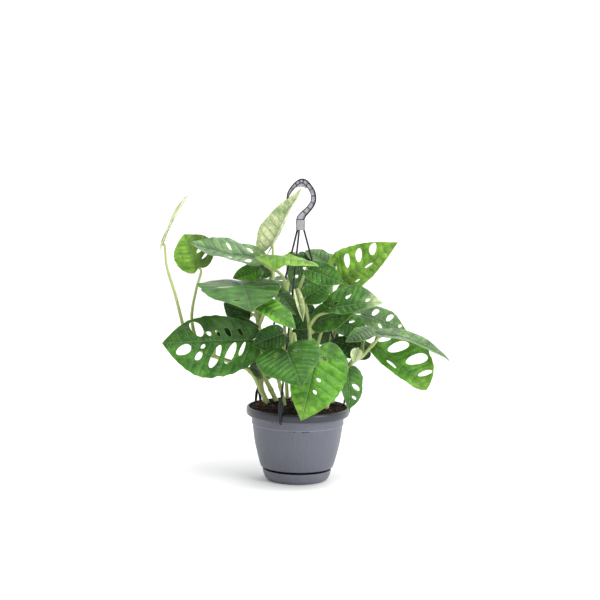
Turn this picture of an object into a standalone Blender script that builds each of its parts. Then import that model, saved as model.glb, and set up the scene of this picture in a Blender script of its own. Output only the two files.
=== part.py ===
"""Hanging-pot monstera: climbing vines with perforated leaves in a pot with a clip-on saucer and a hanger.

All lengths below are millimetres and are scaled to metres where geometry is made.
Frame: +Z up, +X to the right of the front view, front is -Y, origin under the saucer's middle.
"""

import math

import bmesh
import bpy
from mathutils import Vector, geometry

MM = 0.001
GAP = 0.3

# Pot, saucer and soil
RIM_RADIUS = 75.0
RIM_TOP = 107.0
RIM_BAND = 12.0
RIM_LIP = 4.2
POT_WALL = 1.8
UNDER_RIM_RADIUS = 67.3
LEDGE_DROP = 24.5
LEDGE_STEP = 1.1
WAIST = ((64.4, 70.0), (62.0, 54.0), (58.0, 37.5), (54.7, 25.6), (52.7, 20.1))
POT_FOOT_RADIUS = 38.0
POT_FLOOR = 3.0
DRAIN_HOLES = 4
DRAIN_RADIUS = 4.5
DRAIN_RING = 24.0
SAUCER_FOOT_RADIUS = 40.0
SAUCER_RIM_RADIUS = 50.0
SAUCER_HEIGHT = 16.2
SAUCER_FLOOR = 2.6
SAUCER_WALL = 1.8
FOOT_Z = SAUCER_FLOOR + GAP
SOIL_EDGE = 101.0
SOIL_CROWN = 110.5
STEM_HOLE_SLACK = 0.35
TURNED_STEPS = 36

# Hanger
STRAND_RADIUS = 1.35
COLLAR_BOTTOM = 363.5
COLLAR_TOP = 372.0
COLLAR_HALF_WIDTH = 6.2
HOOK_THICK = 5.6
HOOK_WEB_THICK = 2.4
HOOK_BORDER = 1.3
CLIP_AZIMUTHS = (-19.0, -126.0, 103.0)
CLIP_TOP = 127.0
CLIP_LEG_OUT = 77.2
CLIP_LEG_IN = 68.6

# Centre line of the hook in X and Z with its half width there
HOOK_LINE = (
    (-1.4, 369.0, 5.9), (-1.7, 378.5, 6.0), (2.0, 385.5, 5.0), (7.6, 391.5, 4.4), (13.0, 398.0, 4.1),
    (16.2, 404.5, 3.9), (16.8, 411.0, 3.8), (15.2, 418.5, 3.8), (10.6, 426.0, 3.7), (4.8, 432.3, 3.6),
    (-0.8, 434.0, 3.4), (-6.0, 431.6, 3.2), (-11.0, 427.0, 3.1), (-15.4, 421.6, 2.9), (-19.0, 415.4, 2.4),
    (-20.8, 409.4, 1.4),
)
HOOK_RIBS = (3, 4, 5, 7, 8, 10, 11, 13)

# The thin plate under the hook's roof
HOOK_GUSSET = (
    (-9.0, 424.4), (-4.5, 425.7), (-1.0, 425.9), (2.9, 425.2), (6.6, 423.6), (8.6, 424.6), (5.0, 429.0),
    (0.0, 431.0), (-6.0, 429.0),
)

# Foliage
BLADE = 0.7
PETIOLE_TIP_RADIUS = 1.5
PETIOLE_FOOT_RADIUS = 2.4
STEM_RADIUS = 2.9
STEM_SIDES = 2
PETIOLE_SIDES = 1
STALK_STEPS = 2
STEM_FOOT = 92.0
STEM_RISE = 16.0

# Half of a leaf's flat outline from the stalk to the tip: place along the midrib, share of the half width
OVATE = (
    (-0.050, 0.15), (-0.070, 0.36), (-0.030, 0.60), (0.070, 0.82), (0.210, 0.97), (0.360, 1.0),
    (0.520, 0.94), (0.670, 0.78), (0.800, 0.54), (0.900, 0.29), (0.960, 0.12),
)
BROAD = (
    (-0.050, 0.15), (-0.070, 0.34), (-0.030, 0.55), (0.070, 0.74), (0.210, 0.90), (0.380, 0.99),
    (0.540, 1.0), (0.690, 0.87), (0.820, 0.60), (0.910, 0.32), (0.965, 0.13),
)
BLUNT = (
    (-0.050, 0.15), (-0.070, 0.36), (-0.030, 0.60), (0.070, 0.80), (0.210, 0.94), (0.380, 1.0),
    (0.550, 0.99), (0.710, 0.90), (0.840, 0.72), (0.930, 0.46), (0.980, 0.20),
)
HEART = (
    (-0.120, 0.14), (-0.190, 0.36), (-0.170, 0.62), (-0.060, 0.87), (0.080, 0.99), (0.240, 0.98),
    (0.420, 0.86), (0.600, 0.65), (0.760, 0.41), (0.880, 0.20), (0.950, 0.08),
)
VEIN_RISE = 0.45

GREEN = (0.13, 0.33, 0.07)
FRESH = (0.24, 0.48, 0.07)
PALE = (0.55, 0.68, 0.33)
GREY_GREEN = (0.30, 0.42, 0.24)


def leaf(base, tip, face, left, right, arch=20.0, fold=6.0, curl=0.0, wave=0.0, twist=0.0,
         lobe=1.0, shape=OVATE, reach=9.0, holes=(), colour=GREEN):
    """One leaf: where its stalk meets it, its tip, which way its upper side looks and its two half widths."""
    return dict(base=base, tip=tip, face=face, left=left, right=right, arch=arch, fold=fold, curl=curl,
                wave=wave, twist=twist, lobe=lobe, shape=shape, reach=reach, holes=holes, colour=colour)


# A hole is: side, place along the midrib, its inner and outer share of the half width, its width in mm
LEAVES = {
    "leaf_far_left": leaf((-197, -20, 341), (-163, -20, 413), (-0.9, -0.1, 0.44), 24, 24, arch=6, fold=10,
                          lobe=1.5, reach=4, colour=PALE),
    "leaf_left_upper": leaf((-148, 10, 306), (-172, 48, 350), (-0.22, -0.8, 0.48), 27, 34, arch=20, fold=6,
                            lobe=1.3, colour=FRESH, holes=(("R", 0.42, 0.2, 0.8, 8), ("R", 0.2, 0.3, 0.8, 5))),
    "leaf_left_long": leaf((-56, 15, 319), (-161, -5, 342), (0.2, -0.36, 0.92), 32, 36, arch=-8, fold=8,
                           holes=(("L", 0.2, 0.3, 0.75, 9), ("R", 0.16, 0.3, 0.7, 8), ("R", 0.45, 0.3, 0.7, 6),
                                  ("L", 0.45, 0.3, 0.7, 7))),
    "leaf_left_broad": leaf((-88, 20, 286), (-67, -105, 258), (0.0, -0.25, 0.95), 52, 66, arch=22, fold=3,
                            lobe=1.6, holes=(("R", 0.75, 0.25, 0.5, 6), ("R", 0.35, 0.2, 0.6, 5))),
    "leaf_left_mask": leaf((-67, -30, 207), (-195, -45, 202), (-0.05, -0.93, 0.3), 53, 36, arch=14, fold=5, shape=BROAD,
                           lobe=1.2,
                           holes=(("R", 0.61, 0.2, 0.85, 17), ("R", 0.48, 0.2, 0.38, 6), ("R", 0.38, 0.15, 0.42, 6),
                                  ("R", 0.27, 0.15, 0.55, 8), ("R", 0.13, 0.2, 0.6, 6), ("L", 0.76, 0.08, 0.5, 20),
                                  ("L", 0.55, 0.08, 0.2, 6), ("L", 0.60, 0.28, 0.55, 9),
                                  ("L", 0.42, 0.12, 0.75, 12), ("L", 0.25, 0.06, 0.7, 12),
                                  ("L", 0.12, 0.06, 0.55, 6))),
    "leaf_front_heart": leaf((-17, -70, 197), (4, -116, 154), (-0.05, -0.75, 0.65), 45, 47, arch=24, fold=-2,
                             lobe=1.5, shape=HEART,
                             holes=(("L", 0.05, 0.2, 0.4, 4), ("R", 0.0, 0.25, 0.45, 5))),
    "leaf_front_bright": leaf((28, -42, 200), (5, -98, 104), (0.1, -0.75, 0.55), 48, 32, arch=30, fold=4,
                              lobe=1.6, colour=FRESH,
                              holes=(("L", 0.15, 0.15, 0.35, 7), ("L", 0.45, 0.15, 0.3, 5),
                                     ("L", 0.62, 0.15, 0.3, 5))),
    "leaf_right_droop": leaf((71, -25, 168), (73, -42, 110), (0.5, -0.85, 0.1), 22, 16, arch=18, fold=10,
                             holes=(("L", 0.45, 0.2, 0.75, 8), ("L", 0.7, 0.2, 0.6, 4))),
    "leaf_right_mask": leaf((108, -2, 198), (184, -32, 140), (0.1, -0.85, 0.45), 48, 15, arch=14, fold=6, shape=BLUNT,
                            holes=(("L", 0.28, 0.15, 0.75, 17), ("L", 0.60, 0.2, 0.85, 16),
                                   ("L", 0.82, 0.2, 0.75, 8), ("L", 0.05, 0.25, 0.7, 9),
                                   ("R", 0.38, 0.25, 0.5, 18))),
    "leaf_right_long": leaf((115, -33, 218), (216, -28, 180), (0.25, -0.25, 0.93), 22, 17, arch=44, fold=10,
                            colour=GREY_GREEN, holes=(("L", 0.3, 0.3, 0.7, 6),)),
    "leaf_right_grey": leaf((106, 8, 221), (66, -24, 206), (-0.1, -0.6, 0.75), 20, 12, arch=26, fold=4,
                            colour=GREY_GREEN),
    "leaf_right_back": leaf((91, 40, 237), (160, 54, 209), (0.1, -0.8, 0.6), 24, 18, arch=16, fold=5,
                            holes=(("L", 0.55, 0.2, 0.8, 8), ("L", 0.25, 0.2, 0.8, 8), ("L", 0.8, 0.2, 0.7, 5),
                                   ("R", 0.4, 0.2, 0.6, 6))),
    "leaf_right_upper": leaf((62, 10, 291), (139, -5, 349), (-0.25, -0.85, 0.42), 40, 28, arch=10, fold=8,
                             colour=FRESH, shape=HEART,
                             holes=(("L", 0.0, 0.42, 0.85, 6), ("L", 0.21, 0.28, 0.75, 9), ("L", 0.40, 0.25, 0.75, 11),
                                    ("L", 0.63, 0.2, 0.8, 13), ("R", 0.45, 0.1, 0.26, 13), ("R", 0.2, 0.5, 0.62, 8))),
    "leaf_right_middle": leaf((44, -28, 255), (117, -42, 265), (-0.05, -0.75, 0.65), 34, 14, arch=20, fold=2,
                              lobe=2.2, holes=(("L", 0.35, 0.3, 0.6, 7), ("L", 0.1, 0.1, 0.3, 6),
                                               ("L", 0.72, 0.1, 0.4, 6))),
    "leaf_centre_right": leaf((8, -15, 268), (46, -8, 290), (-0.35, -0.85, 0.45), 17, 22, arch=12, fold=5,
                              lobe=1.6, holes=(("L", 0.2, 0.2, 0.5, 5),)),
    "leaf_pale_tall": leaf((-43, 42, 338), (-1, 34, 422), (-0.57, 0.75, 0.32), 22, 26, arch=6, fold=40, shape=HEART,
                           reach=5, colour=PALE),
    "leaf_pale_curled": leaf((-55, -22, 328), (26, -58, 317), (0.05, -0.35, 0.93), 18, 20, arch=16, fold=-14,
                             lobe=1.4, colour=FRESH),
    "leaf_back_small": leaf((50, 42, 308), (6, 58, 328), (0.0, -0.6, 0.8), 18, 18, arch=16, fold=6,
                            colour=GREY_GREEN),
    "leaf_small_bright": leaf((-60, -50, 262), (-5, -84, 232), (0.2, -0.6, 0.75), 20, 18, arch=20, fold=6,
                              colour=FRESH, holes=(("L", 0.6, 0.15, 0.4, 3),)),
    "leaf_bluish": leaf((-32, -27, 278), (-5, -46, 246), (0.3, -0.85, 0.4), 12, 12, arch=14, fold=8),
    "leaf_left_shadow": leaf((-72, 16, 240), (-112, 30, 252), (-0.2, -0.9, 0.3), 22, 20, arch=10, fold=8),
    "leaf_under_long": leaf((-60, 26, 304), (-98, 10, 291), (0.0, -0.8, 0.6), 18, 12, arch=14, fold=12,
                            colour=FRESH),
    "leaf_young_right": leaf((84, -32, 196), (78, -38, 179), (0.1, -0.9, 0.3), 9, 9, arch=10, fold=12,
                             reach=5, colour=PALE),
    "leaf_inner_right": leaf((56, 28, 228), (98, 10, 214), (0.0, -0.8, 0.6), 22, 20, arch=16, fold=5,
                             holes=(("L", 0.4, 0.2, 0.6, 6),)),
    "leaf_inner_middle": leaf((20, 22, 240), (-22, 34, 226), (0.1, -0.85, 0.5), 22, 22, arch=16, fold=5),
    "leaf_rolled_pale": leaf((-6, -35, 279), (5, -50, 238), (0.2, -0.9, 0.1), 9, 8, arch=14, fold=48, reach=5,
                             colour=PALE),
    "leaf_inner_back": leaf((50, 72, 209), (-23, 41, 197), (0.15, -0.72, 0.76), 25, 22, arch=22, fold=4),
    "leaf_inner_left": leaf((-24, -37, 218), (-66, -42, 200), (0.14, -0.68, 0.42), 21, 18, arch=19, fold=10),
    "leaf_inner_top": leaf((-6, 55, 322), (9, 21, 251), (0.25, -0.49, 0.33), 25, 25, arch=15, fold=9,
                           holes=(("L", 0.3, 0.2, 0.7, 7), ("R", 0.45, 0.2, 0.7, 6))),
    "leaf_inner_low_right": leaf((102, 27, 187), (44, 21, 201), (0.21, -0.97, 0.62), 22, 16, arch=12, fold=5),
    "leaf_inner_upper": leaf((22, 0, 231), (80, -37, 253), (-0.27, -0.88, 0.48), 24, 22, arch=12, fold=5),
    "leaf_inner_high": leaf((10, -23, 309), (62, -42, 292), (0.06, -0.85, 0.25), 18, 15, arch=12, fold=5,
                            reach=12),
    "leaf_inner_high_left": leaf((-38, 63, 313), (-76, 44, 283), (-0.2, -0.64, 0.39), 17, 13, arch=18, fold=4),
    "leaf_inner_low_left": leaf((-56, 14, 157), (-72, -30, 166), (0.24, -0.96, 0.31), 16, 12, arch=21, fold=6),
    "leaf_inner_far_left": leaf((-116, -21, 217), (-57, -19, 225), (-0.36, -0.67, 0.17), 19, 19, arch=19, fold=5),
    "leaf_back_left": leaf((-48, 62, 246), (-104, 112, 212), (-0.35, 0.55, 0.75), 36, 36, arch=26, fold=5,
                           holes=(("L", 0.3, 0.2, 0.75, 9), ("L", 0.55, 0.2, 0.75, 9), ("R", 0.3, 0.2, 0.75, 9),
                                  ("R", 0.55, 0.2, 0.75, 8))),
    "leaf_back_top": leaf((2, 62, 286), (-16, 146, 258), (0.0, 0.45, 0.88), 40, 40, arch=26, fold=5,
                          holes=(("L", 0.3, 0.2, 0.75, 9), ("L", 0.55, 0.2, 0.7, 9), ("R", 0.25, 0.2, 0.7, 8),
                                 ("R", 0.5, 0.2, 0.75, 10))),
    "leaf_back_right": leaf((58, 62, 240), (108, 120, 208), (0.35, 0.5, 0.78), 36, 36, arch=26, fold=5,
                            holes=(("L", 0.3, 0.2, 0.75, 9), ("L", 0.6, 0.2, 0.75, 9), ("R", 0.4, 0.2, 0.75, 10))),
    "leaf_back_low_left": leaf((-26, 92, 186), (-46, 142, 122), (-0.2, 0.85, 0.5), 34, 34, arch=26, fold=5,
                               holes=(("L", 0.35, 0.2, 0.7, 8), ("R", 0.45, 0.2, 0.7, 8))),
    "leaf_back_low_right": leaf((38, 90, 176), (52, 136, 116), (0.2, 0.85, 0.5), 32, 32, arch=26, fold=5,
                                holes=(("L", 0.4, 0.2, 0.7, 8),)),
    "leaf_back_side": leaf((78, 46, 196), (118, 80, 184), (0.5, 0.3, 0.8), 26, 26, arch=22, fold=5,
                           colour=FRESH),
}

# Each vine: how thick its stem is beside the others, the points of the stem above the soil, then its leaf stalks
# as the leaf, the stem point that it leaves from and the points that it passes
VINES = {
    "vine_left": dict(
        thick=1.4,
        stem=((-44, -4), (-54, -5, 131), (-70, -5, 158), (-97, -4, 170), (-124, -4, 179), (-146, -4, 189),
              (-162, -4, 199)),
        stalks=(("leaf_far_left", 6, ((-169, -8, 227), (-179, -14, 268), (-191, -19, 308))),
                ("leaf_left_upper", 5, ((-156, 2, 232), (-151, 12, 272))),
                ("leaf_inner_far_left", 4, ()))),
    "vine_left_middle": dict(
        thick=1.3,
        stem=((-30, 6), (-40, 4, 130), (-54, -2, 160), (-58, 0, 192), (-60, 2, 222), (-64, 8, 246)),
        stalks=(("leaf_left_broad", 5, ((-76, 18, 262),)),
                ("leaf_left_long", 4, ((-44, 32, 262), (-40, 34, 296))),
                ("leaf_under_long", 4, ((-58, 34, 258), (-60, 38, 286))),
                ("leaf_left_mask", 2, ((-46, -6, 186),)),
                ("leaf_left_shadow", 3, ((-58, 18, 222),)),
                ("leaf_small_bright", 4, ((-52, -20, 244),)),
                ("leaf_inner_high_left", 5, ()))),
    "vine_middle": dict(
        stem=((-8, 14), (-8, 12, 140), (-10, 8, 190), (-16, 2, 236), (-22, -4, 262)),
        stalks=(("leaf_pale_curled", 4, ((-24, -8, 294), (-42, -12, 310))),
                ("leaf_pale_tall", 3, ((-36, 8, 268), (-40, 30, 304))),
                ("leaf_bluish", 3, ((-29, -10, 258),)),
                ("leaf_rolled_pale", 4, ((-10, -12, 264), (-2, -27, 270))),
                ("leaf_inner_top", 4, ()),
                ("leaf_inner_high", 3, ()))),
    "vine_right_middle": dict(
        stem=((18, 4), (16, 0, 140), (16, -6, 190), (14, -8, 226), (10, -6, 246)),
        stalks=(("leaf_centre_right", 4, ((8, -8, 256),)),
                ("leaf_right_middle", 3, ((26, -16, 242),)),
                ("leaf_inner_upper", 3, ((19, 8, 214),)))),
    "vine_right": dict(
        thick=1.2,
        stem=((40, -6), (48, -8, 130), (60, -10, 156), (74, -12, 172), (90, -16, 184), (104, -20, 200)),
        stalks=(("leaf_right_long", 5, ((110, -26, 208),)),
                ("leaf_right_mask", 4, ((98, -4, 190),)),
                ("leaf_right_droop", 2, ((64, -14, 164),)),
                ("leaf_young_right", 3, ((80, -20, 184),)),
                ("leaf_right_grey", 4, ((94, 8, 204),)))),
    "vine_back_right": dict(
        stem=((32, 28), (36, 32, 140), (44, 34, 180), (52, 38, 212), (56, 40, 226)),
        stalks=(("leaf_right_back", 4, ((76, 42, 230),)),
                ("leaf_inner_right", 2, ((48, 32, 214),)),
                ("leaf_inner_back", 2, ()),
                ("leaf_right_upper", 4, ((62, 38, 256), (66, 28, 278))),
                ("leaf_back_small", 4, ((46, 48, 262), (50, 50, 294))),
                ("leaf_back_right", 4, ((57, 54, 232),)),
                ("leaf_back_side", 2, ((64, 42, 190),)),
                ("leaf_back_low_right", 1, ((38, 64, 160),)))),
    "vine_back_left": dict(
        stem=((-16, 42), (-18, 50, 140), (-20, 54, 190), (-24, 54, 232)),
        stalks=(("leaf_back_left", 3, ((-38, 58, 244),)),
                ("leaf_back_top", 3, ((-6, 54, 270),)),
                ("leaf_back_low_left", 1, ((-22, 72, 168),)))),
    "vine_front_left": dict(
        thick=1.2,
        stem=((-19, -21), (-26, -18, 138), (-39, -18, 177)),
        stalks=(("leaf_front_heart", 2, ((-32, -40, 184),)),)),
    "vine_front": dict(
        thick=1.2,
        stem=((5, -24), (-1, -32, 138), (-1, -34, 179), (-7, -39, 217)),
        stalks=(("leaf_inner_left", 3, ()),)),
    "vine_front_right": dict(
        stem=((41, -31), (47, -32, 138), (48, -28, 182)),
        stalks=(("leaf_front_bright", 2, ((44, -30, 192),)),)),
    "vine_centre": dict(
        stem=((8, 24), (15, 29, 138), (24, 25, 181), (34, 26, 220)),
        stalks=(("leaf_inner_middle", 3, ()),)),
    "vine_side_right": dict(
        stem=((49, 19), (63, 22, 138), (82, 23, 181)),
        stalks=(("leaf_inner_low_right", 2, ()),)),
    "vine_side_left": dict(
        stem=((-49, 17), (-54, 23, 138), (-53, 25, 175)),
        stalks=(("leaf_inner_low_left", 1, ()),)),
}


def clear_scene():
    """Remove what the scene holds before the part is made."""
    for thing in list(bpy.data.objects):
        bpy.data.objects.remove(thing, do_unlink=True)


def collection(name):
    """A new collection under the scene."""
    made = bpy.data.collections.new(name)
    bpy.context.scene.collection.children.link(made)
    return made


def material(name, colour, roughness=0.5, metallic=0.0):
    """A plain finish, shared by every piece that names it."""
    made = bpy.data.materials.get(name)
    if made is None:
        made = bpy.data.materials.new(name)
        made.use_nodes = True
        shader = made.node_tree.nodes["Principled BSDF"]
        shader.inputs["Base Color"].default_value = (*colour, 1.0)
        shader.inputs["Roughness"].default_value = roughness
        shader.inputs["Metallic"].default_value = metallic
    return made


def smooth_line(points, per_span):
    """Points along a smooth curve through the given ones."""
    ends = [2 * points[0] - points[1]] + list(points) + [2 * points[-1] - points[-2]]
    line = []
    for i in range(1, len(ends) - 2):
        a, b, c, d = ends[i - 1], ends[i], ends[i + 1], ends[i + 2]
        for step in range(per_span):
            t = step / per_span
            line.append(0.5 * (2 * b + (c - a) * t + (2 * a - 5 * b + 4 * c - d) * t ** 2
                               + (3 * b - a - 3 * c + d) * t ** 3))
    line.append(points[-1])
    return line


def settle(thing, name, group, finish):
    """Name an object, give it its finish and put it in its collection."""
    thing.name = name
    thing.data.name = name
    thing.data.materials.clear()
    thing.data.materials.append(finish)
    for other in list(thing.users_collection):
        other.objects.unlink(thing)
    group.objects.link(thing)
    return thing


def as_mesh(thing):
    """A curve made one closed mesh in world space."""
    graph = bpy.context.evaluated_depsgraph_get()
    mesh = bpy.data.meshes.new_from_object(thing.evaluated_get(graph))
    mesh.transform(thing.matrix_world)
    work = bmesh.new()
    work.from_mesh(mesh)
    bmesh.ops.remove_doubles(work, verts=work.verts, dist=0.00002)
    bmesh.ops.recalc_face_normals(work, faces=work.faces)
    work.to_mesh(mesh)
    work.free()
    made = bpy.data.objects.new(thing.name, mesh)
    bpy.context.scene.collection.objects.link(made)
    bpy.data.objects.remove(thing, do_unlink=True)
    return made


def tube(points, radii, sides):
    """A closed tube in millimetres along points, with a radius at each, as a mesh."""
    curve = bpy.data.curves.new("tube", "CURVE")
    curve.dimensions = "3D"
    curve.bevel_depth = MM
    curve.bevel_resolution = sides
    curve.use_fill_caps = True
    line = curve.splines.new("POLY")
    line.points.add(len(points) - 1)
    for knot, point, radius in zip(line.points, points, radii):
        knot.co = (*(Vector(point) * MM), 1.0)
        knot.radius = radius
    thing = bpy.data.objects.new("tube", curve)
    bpy.context.scene.collection.objects.link(thing)
    return as_mesh(thing)


def plate(outline, thick):
    """A flat plate in the XZ plane, its outline in millimetres, centred on y = 0."""
    curve = bpy.data.curves.new("plate", "CURVE")
    curve.dimensions = "2D"
    curve.fill_mode = "BOTH"
    curve.extrude = thick / 2 * MM
    line = curve.splines.new("POLY")
    line.points.add(len(outline) - 1)
    for knot, (x, z) in zip(line.points, outline):
        knot.co = (x * MM, z * MM, 0.0, 1.0)
    line.use_cyclic_u = True
    thing = bpy.data.objects.new("plate", curve)
    thing.rotation_euler.x = math.pi / 2
    bpy.context.scene.collection.objects.link(thing)
    bpy.context.view_layer.update()
    return as_mesh(thing)


def fuse(first, others):
    """Join overlapping meshes into the first as one solid."""
    if not others:
        return first
    tools = collection("fuse")
    for other in others:
        bpy.context.scene.collection.objects.unlink(other)
        tools.objects.link(other)
    join = first.modifiers.new("fuse", "BOOLEAN")
    join.operation = "UNION"
    join.operand_type = "COLLECTION"
    join.collection = tools
    join.solver = "MANIFOLD"
    graph = bpy.context.evaluated_depsgraph_get()
    mesh = bpy.data.meshes.new_from_object(first.evaluated_get(graph))
    first.modifiers.clear()
    first.data = mesh
    for other in list(tools.objects):
        bpy.data.objects.remove(other, do_unlink=True)
    bpy.data.collections.remove(tools)
    return first


def turned(name, profile, group, finish, steps=TURNED_STEPS):
    """A solid turned about Z from its closed profile of radii and heights, outer side first, top to bottom."""
    mesh = bpy.data.meshes.new(name)
    points = [(r * MM, 0.0, z * MM) for r, z in profile]
    mesh.from_pydata(points, [(i, i + 1) for i in range(len(points) - 1)], [])
    thing = bpy.data.objects.new(name, mesh)
    bpy.context.scene.collection.objects.link(thing)
    screw = thing.modifiers.new("turn", "SCREW")
    screw.steps = screw.render_steps = steps
    screw.use_merge_vertices = True
    screw.merge_threshold = 0.00005
    settle(thing, name, group, finish)
    return thing


def pot_outside():
    """Radii and heights down the pot's outer side, from the lip to the rim of its foot."""
    band_bottom = RIM_TOP - RIM_BAND
    ledge = RIM_TOP - LEDGE_DROP
    lip = [(RIM_RADIUS - 2.6, RIM_TOP), (RIM_RADIUS - 0.9, RIM_TOP - 0.7), (RIM_RADIUS, RIM_TOP - 2.6)]
    band = [(RIM_RADIUS, band_bottom + 3.0), (RIM_RADIUS - 1.0, band_bottom + 0.8), (RIM_RADIUS - 2.6, band_bottom)]
    neck = [(UNDER_RIM_RADIUS, band_bottom), (UNDER_RIM_RADIUS - 0.5, ledge),
            (UNDER_RIM_RADIUS - 0.5 - LEDGE_STEP, ledge - 1.0)]
    return lip + band + neck + list(WAIST)


def make_pot(group, finish):
    """The pot: rolled rim band, ledge ring, tapering wall, undercut above the saucer and a floor with drains."""
    outside = pot_outside()
    under = [(WAIST[-1][0] - 5.0, WAIST[-1][1] - 1.4), (POT_FOOT_RADIUS + 2.0, 9.0), (POT_FOOT_RADIUS, FOOT_Z)]
    floor_top = FOOT_Z + POT_FLOOR
    inside = [(POT_FOOT_RADIUS - 0.4, floor_top), (POT_FOOT_RADIUS + 1.2, 12.0),
              (WAIST[-1][0] - POT_WALL - 3.0, WAIST[-1][1] + 1.6)]
    inside += [(r - POT_WALL, z + 0.6) for r, z in reversed(WAIST[:-1])]
    inside += [(UNDER_RIM_RADIUS - 2.4, RIM_TOP - LEDGE_DROP), (UNDER_RIM_RADIUS - 1.6, RIM_TOP - RIM_BAND),
               (RIM_RADIUS - RIM_LIP, RIM_TOP - 7.0), (RIM_RADIUS - RIM_LIP, RIM_TOP - 1.2),
               (RIM_RADIUS - 2.6, RIM_TOP)]
    profile = outside + under + [(0.0, FOOT_Z)]
    profile = profile + [(0.0, floor_top)] + inside
    pot = turned("pot", profile, group, finish)
    cutters = [drain_cutter(i) for i in range(DRAIN_HOLES)]
    return cut(pot, cutters)


def drain_cutter(index):
    """One drain hole's cutter."""
    turn = math.radians(45 + 360 * index / DRAIN_HOLES)
    place = (DRAIN_RING * math.cos(turn) * MM, DRAIN_RING * math.sin(turn) * MM, (FOOT_Z + POT_FLOOR / 2) * MM)
    bpy.ops.mesh.primitive_cylinder_add(vertices=8, radius=DRAIN_RADIUS * MM, depth=POT_FLOOR * 3 * MM,
                                        location=place)
    return bpy.context.active_object


def cut(thing, cutters):
    """Take cutters out of an object and remove them."""
    for cutter in cutters:
        step = thing.modifiers.new("cut", "BOOLEAN")
        step.operation = "DIFFERENCE"
        step.solver = "EXACT"
        step.object = cutter
    graph = bpy.context.evaluated_depsgraph_get()
    mesh = bpy.data.meshes.new_from_object(thing.evaluated_get(graph))
    thing.modifiers.clear()
    thing.data = mesh
    for cutter in cutters:
        bpy.data.objects.remove(cutter, do_unlink=True)
    return thing


def make_saucer(group, finish):
    """The clip-on saucer: a shallow dish with a rounded foot and a flat underside."""
    wall = SAUCER_WALL
    profile = [
        (SAUCER_RIM_RADIUS - 0.5, SAUCER_HEIGHT), (SAUCER_RIM_RADIUS, SAUCER_HEIGHT - 0.6),
        (SAUCER_RIM_RADIUS - 1.6, 8.0), (SAUCER_RIM_RADIUS - 3.8, 3.2), (SAUCER_RIM_RADIUS - 6.2, 0.9),
        (SAUCER_RIM_RADIUS - 8.6, 0.0), (0.0, 0.0), (0.0, SAUCER_FLOOR),
        (SAUCER_FOOT_RADIUS + 0.5, SAUCER_FLOOR), (SAUCER_RIM_RADIUS - 3.8 - wall, 5.4),
        (SAUCER_RIM_RADIUS - 1.6 - wall, 9.2), (SAUCER_RIM_RADIUS - wall, SAUCER_HEIGHT),
        (SAUCER_RIM_RADIUS - 0.5, SAUCER_HEIGHT),
    ]
    return turned("saucer", profile, group, finish)


def soil_height(radius):
    """How high the soil stands at a distance from the middle."""
    return SOIL_CROWN - (SOIL_CROWN - SOIL_EDGE) * (radius / 68.0) ** 4


def make_soil(group, finish):
    """The filling of potting soil, mounded, with a plain hole for each stem."""
    clear = POT_WALL + GAP
    side = [(UNDER_RIM_RADIUS - 2.2 - GAP, RIM_TOP - RIM_BAND - 0.4), (UNDER_RIM_RADIUS - 3.0 - GAP, 82.0)]
    side += [(r - clear, z + 0.6) for r, z in WAIST[:-1]]
    side += [(WAIST[-1][0] - clear - 4.0, WAIST[-1][1] + 2.4), (POT_FOOT_RADIUS + 0.2, 12.0),
             (POT_FOOT_RADIUS - 1.2, FOOT_Z + POT_FLOOR + GAP), (0.0, FOOT_Z + POT_FLOOR + GAP)]
    crown = [(r, soil_height(r)) for r in (0.0, 16.0, 32.0, 46.0, 58.0, 66.0)]
    edge = [(RIM_RADIUS - RIM_LIP - GAP - 0.2, SOIL_EDGE - 1.2)]
    soil = turned("soil", crown + edge + side, group, finish, steps=24)
    return cut(soil, [stem_hole(vine) for vine in VINES.values()])


def stem_line(spec):
    """The smooth line of a stem, which starts upright in the soil."""
    x, y = spec["stem"][0]
    knots = [Vector((x, y, STEM_FOOT)), Vector((x, y, STEM_FOOT + STEM_RISE))]
    return knots, smooth_line(knots + [Vector(p) for p in spec["stem"][1:]], STALK_STEPS)


def stem_hole(spec):
    """The cutter of one stem's hole, a little wider than the stem and along its line."""
    _, line = stem_line(spec)
    low = line[0] - Vector((0, 0, GAP))
    route = [low] + line[1:6]
    return tube(route, [STEM_RADIUS * spec.get("thick", 1.0) + STEM_HOLE_SLACK] * len(route), STEM_SIDES)


def ribbon(line, widths):
    """The closed outline of a band along a line in X and Z with a half width at each point."""
    left, right = [], []
    for i, (x, z) in enumerate(line):
        before, after = line[max(i - 1, 0)], line[min(i + 1, len(line) - 1)]
        along = Vector((after[0] - before[0], after[1] - before[1])).normalized()
        left.append((x - along.y * widths[i], z + along.x * widths[i]))
        right.append((x + along.y * widths[i], z - along.x * widths[i]))
    return left, right


def hook_pieces():
    """The hook: a thin web between two raised borders, with cross ribs."""
    line = [(x, z) for x, z, _ in HOOK_LINE]
    half = [w for _, _, w in HOOK_LINE]
    left, right = ribbon(line, half)
    inner_left, inner_right = ribbon(line, [max(w - HOOK_BORDER, 0.4) for w in half])
    web_left, web_right = ribbon(line, [w - 0.3 for w in half])
    pieces = [plate(web_left + web_right[::-1], HOOK_WEB_THICK)]
    pieces.append(plate(left + inner_left[::-1], HOOK_THICK))
    pieces.append(plate(right + inner_right[::-1], HOOK_THICK - 0.02))
    for i in HOOK_RIBS:
        pieces.append(cross_rib(line[i - 1], line[i], line[i + 1], half[i] - 0.5))
    pieces.append(plate(HOOK_GUSSET, HOOK_WEB_THICK - 0.3))
    x, z = line[-1]
    tip = [(x + 1.6 * math.cos(a), z + 1.6 * math.sin(a)) for a in [math.tau * k / 8 for k in range(8)]]
    pieces.append(plate(tip, HOOK_THICK - 0.04))
    return pieces


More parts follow.
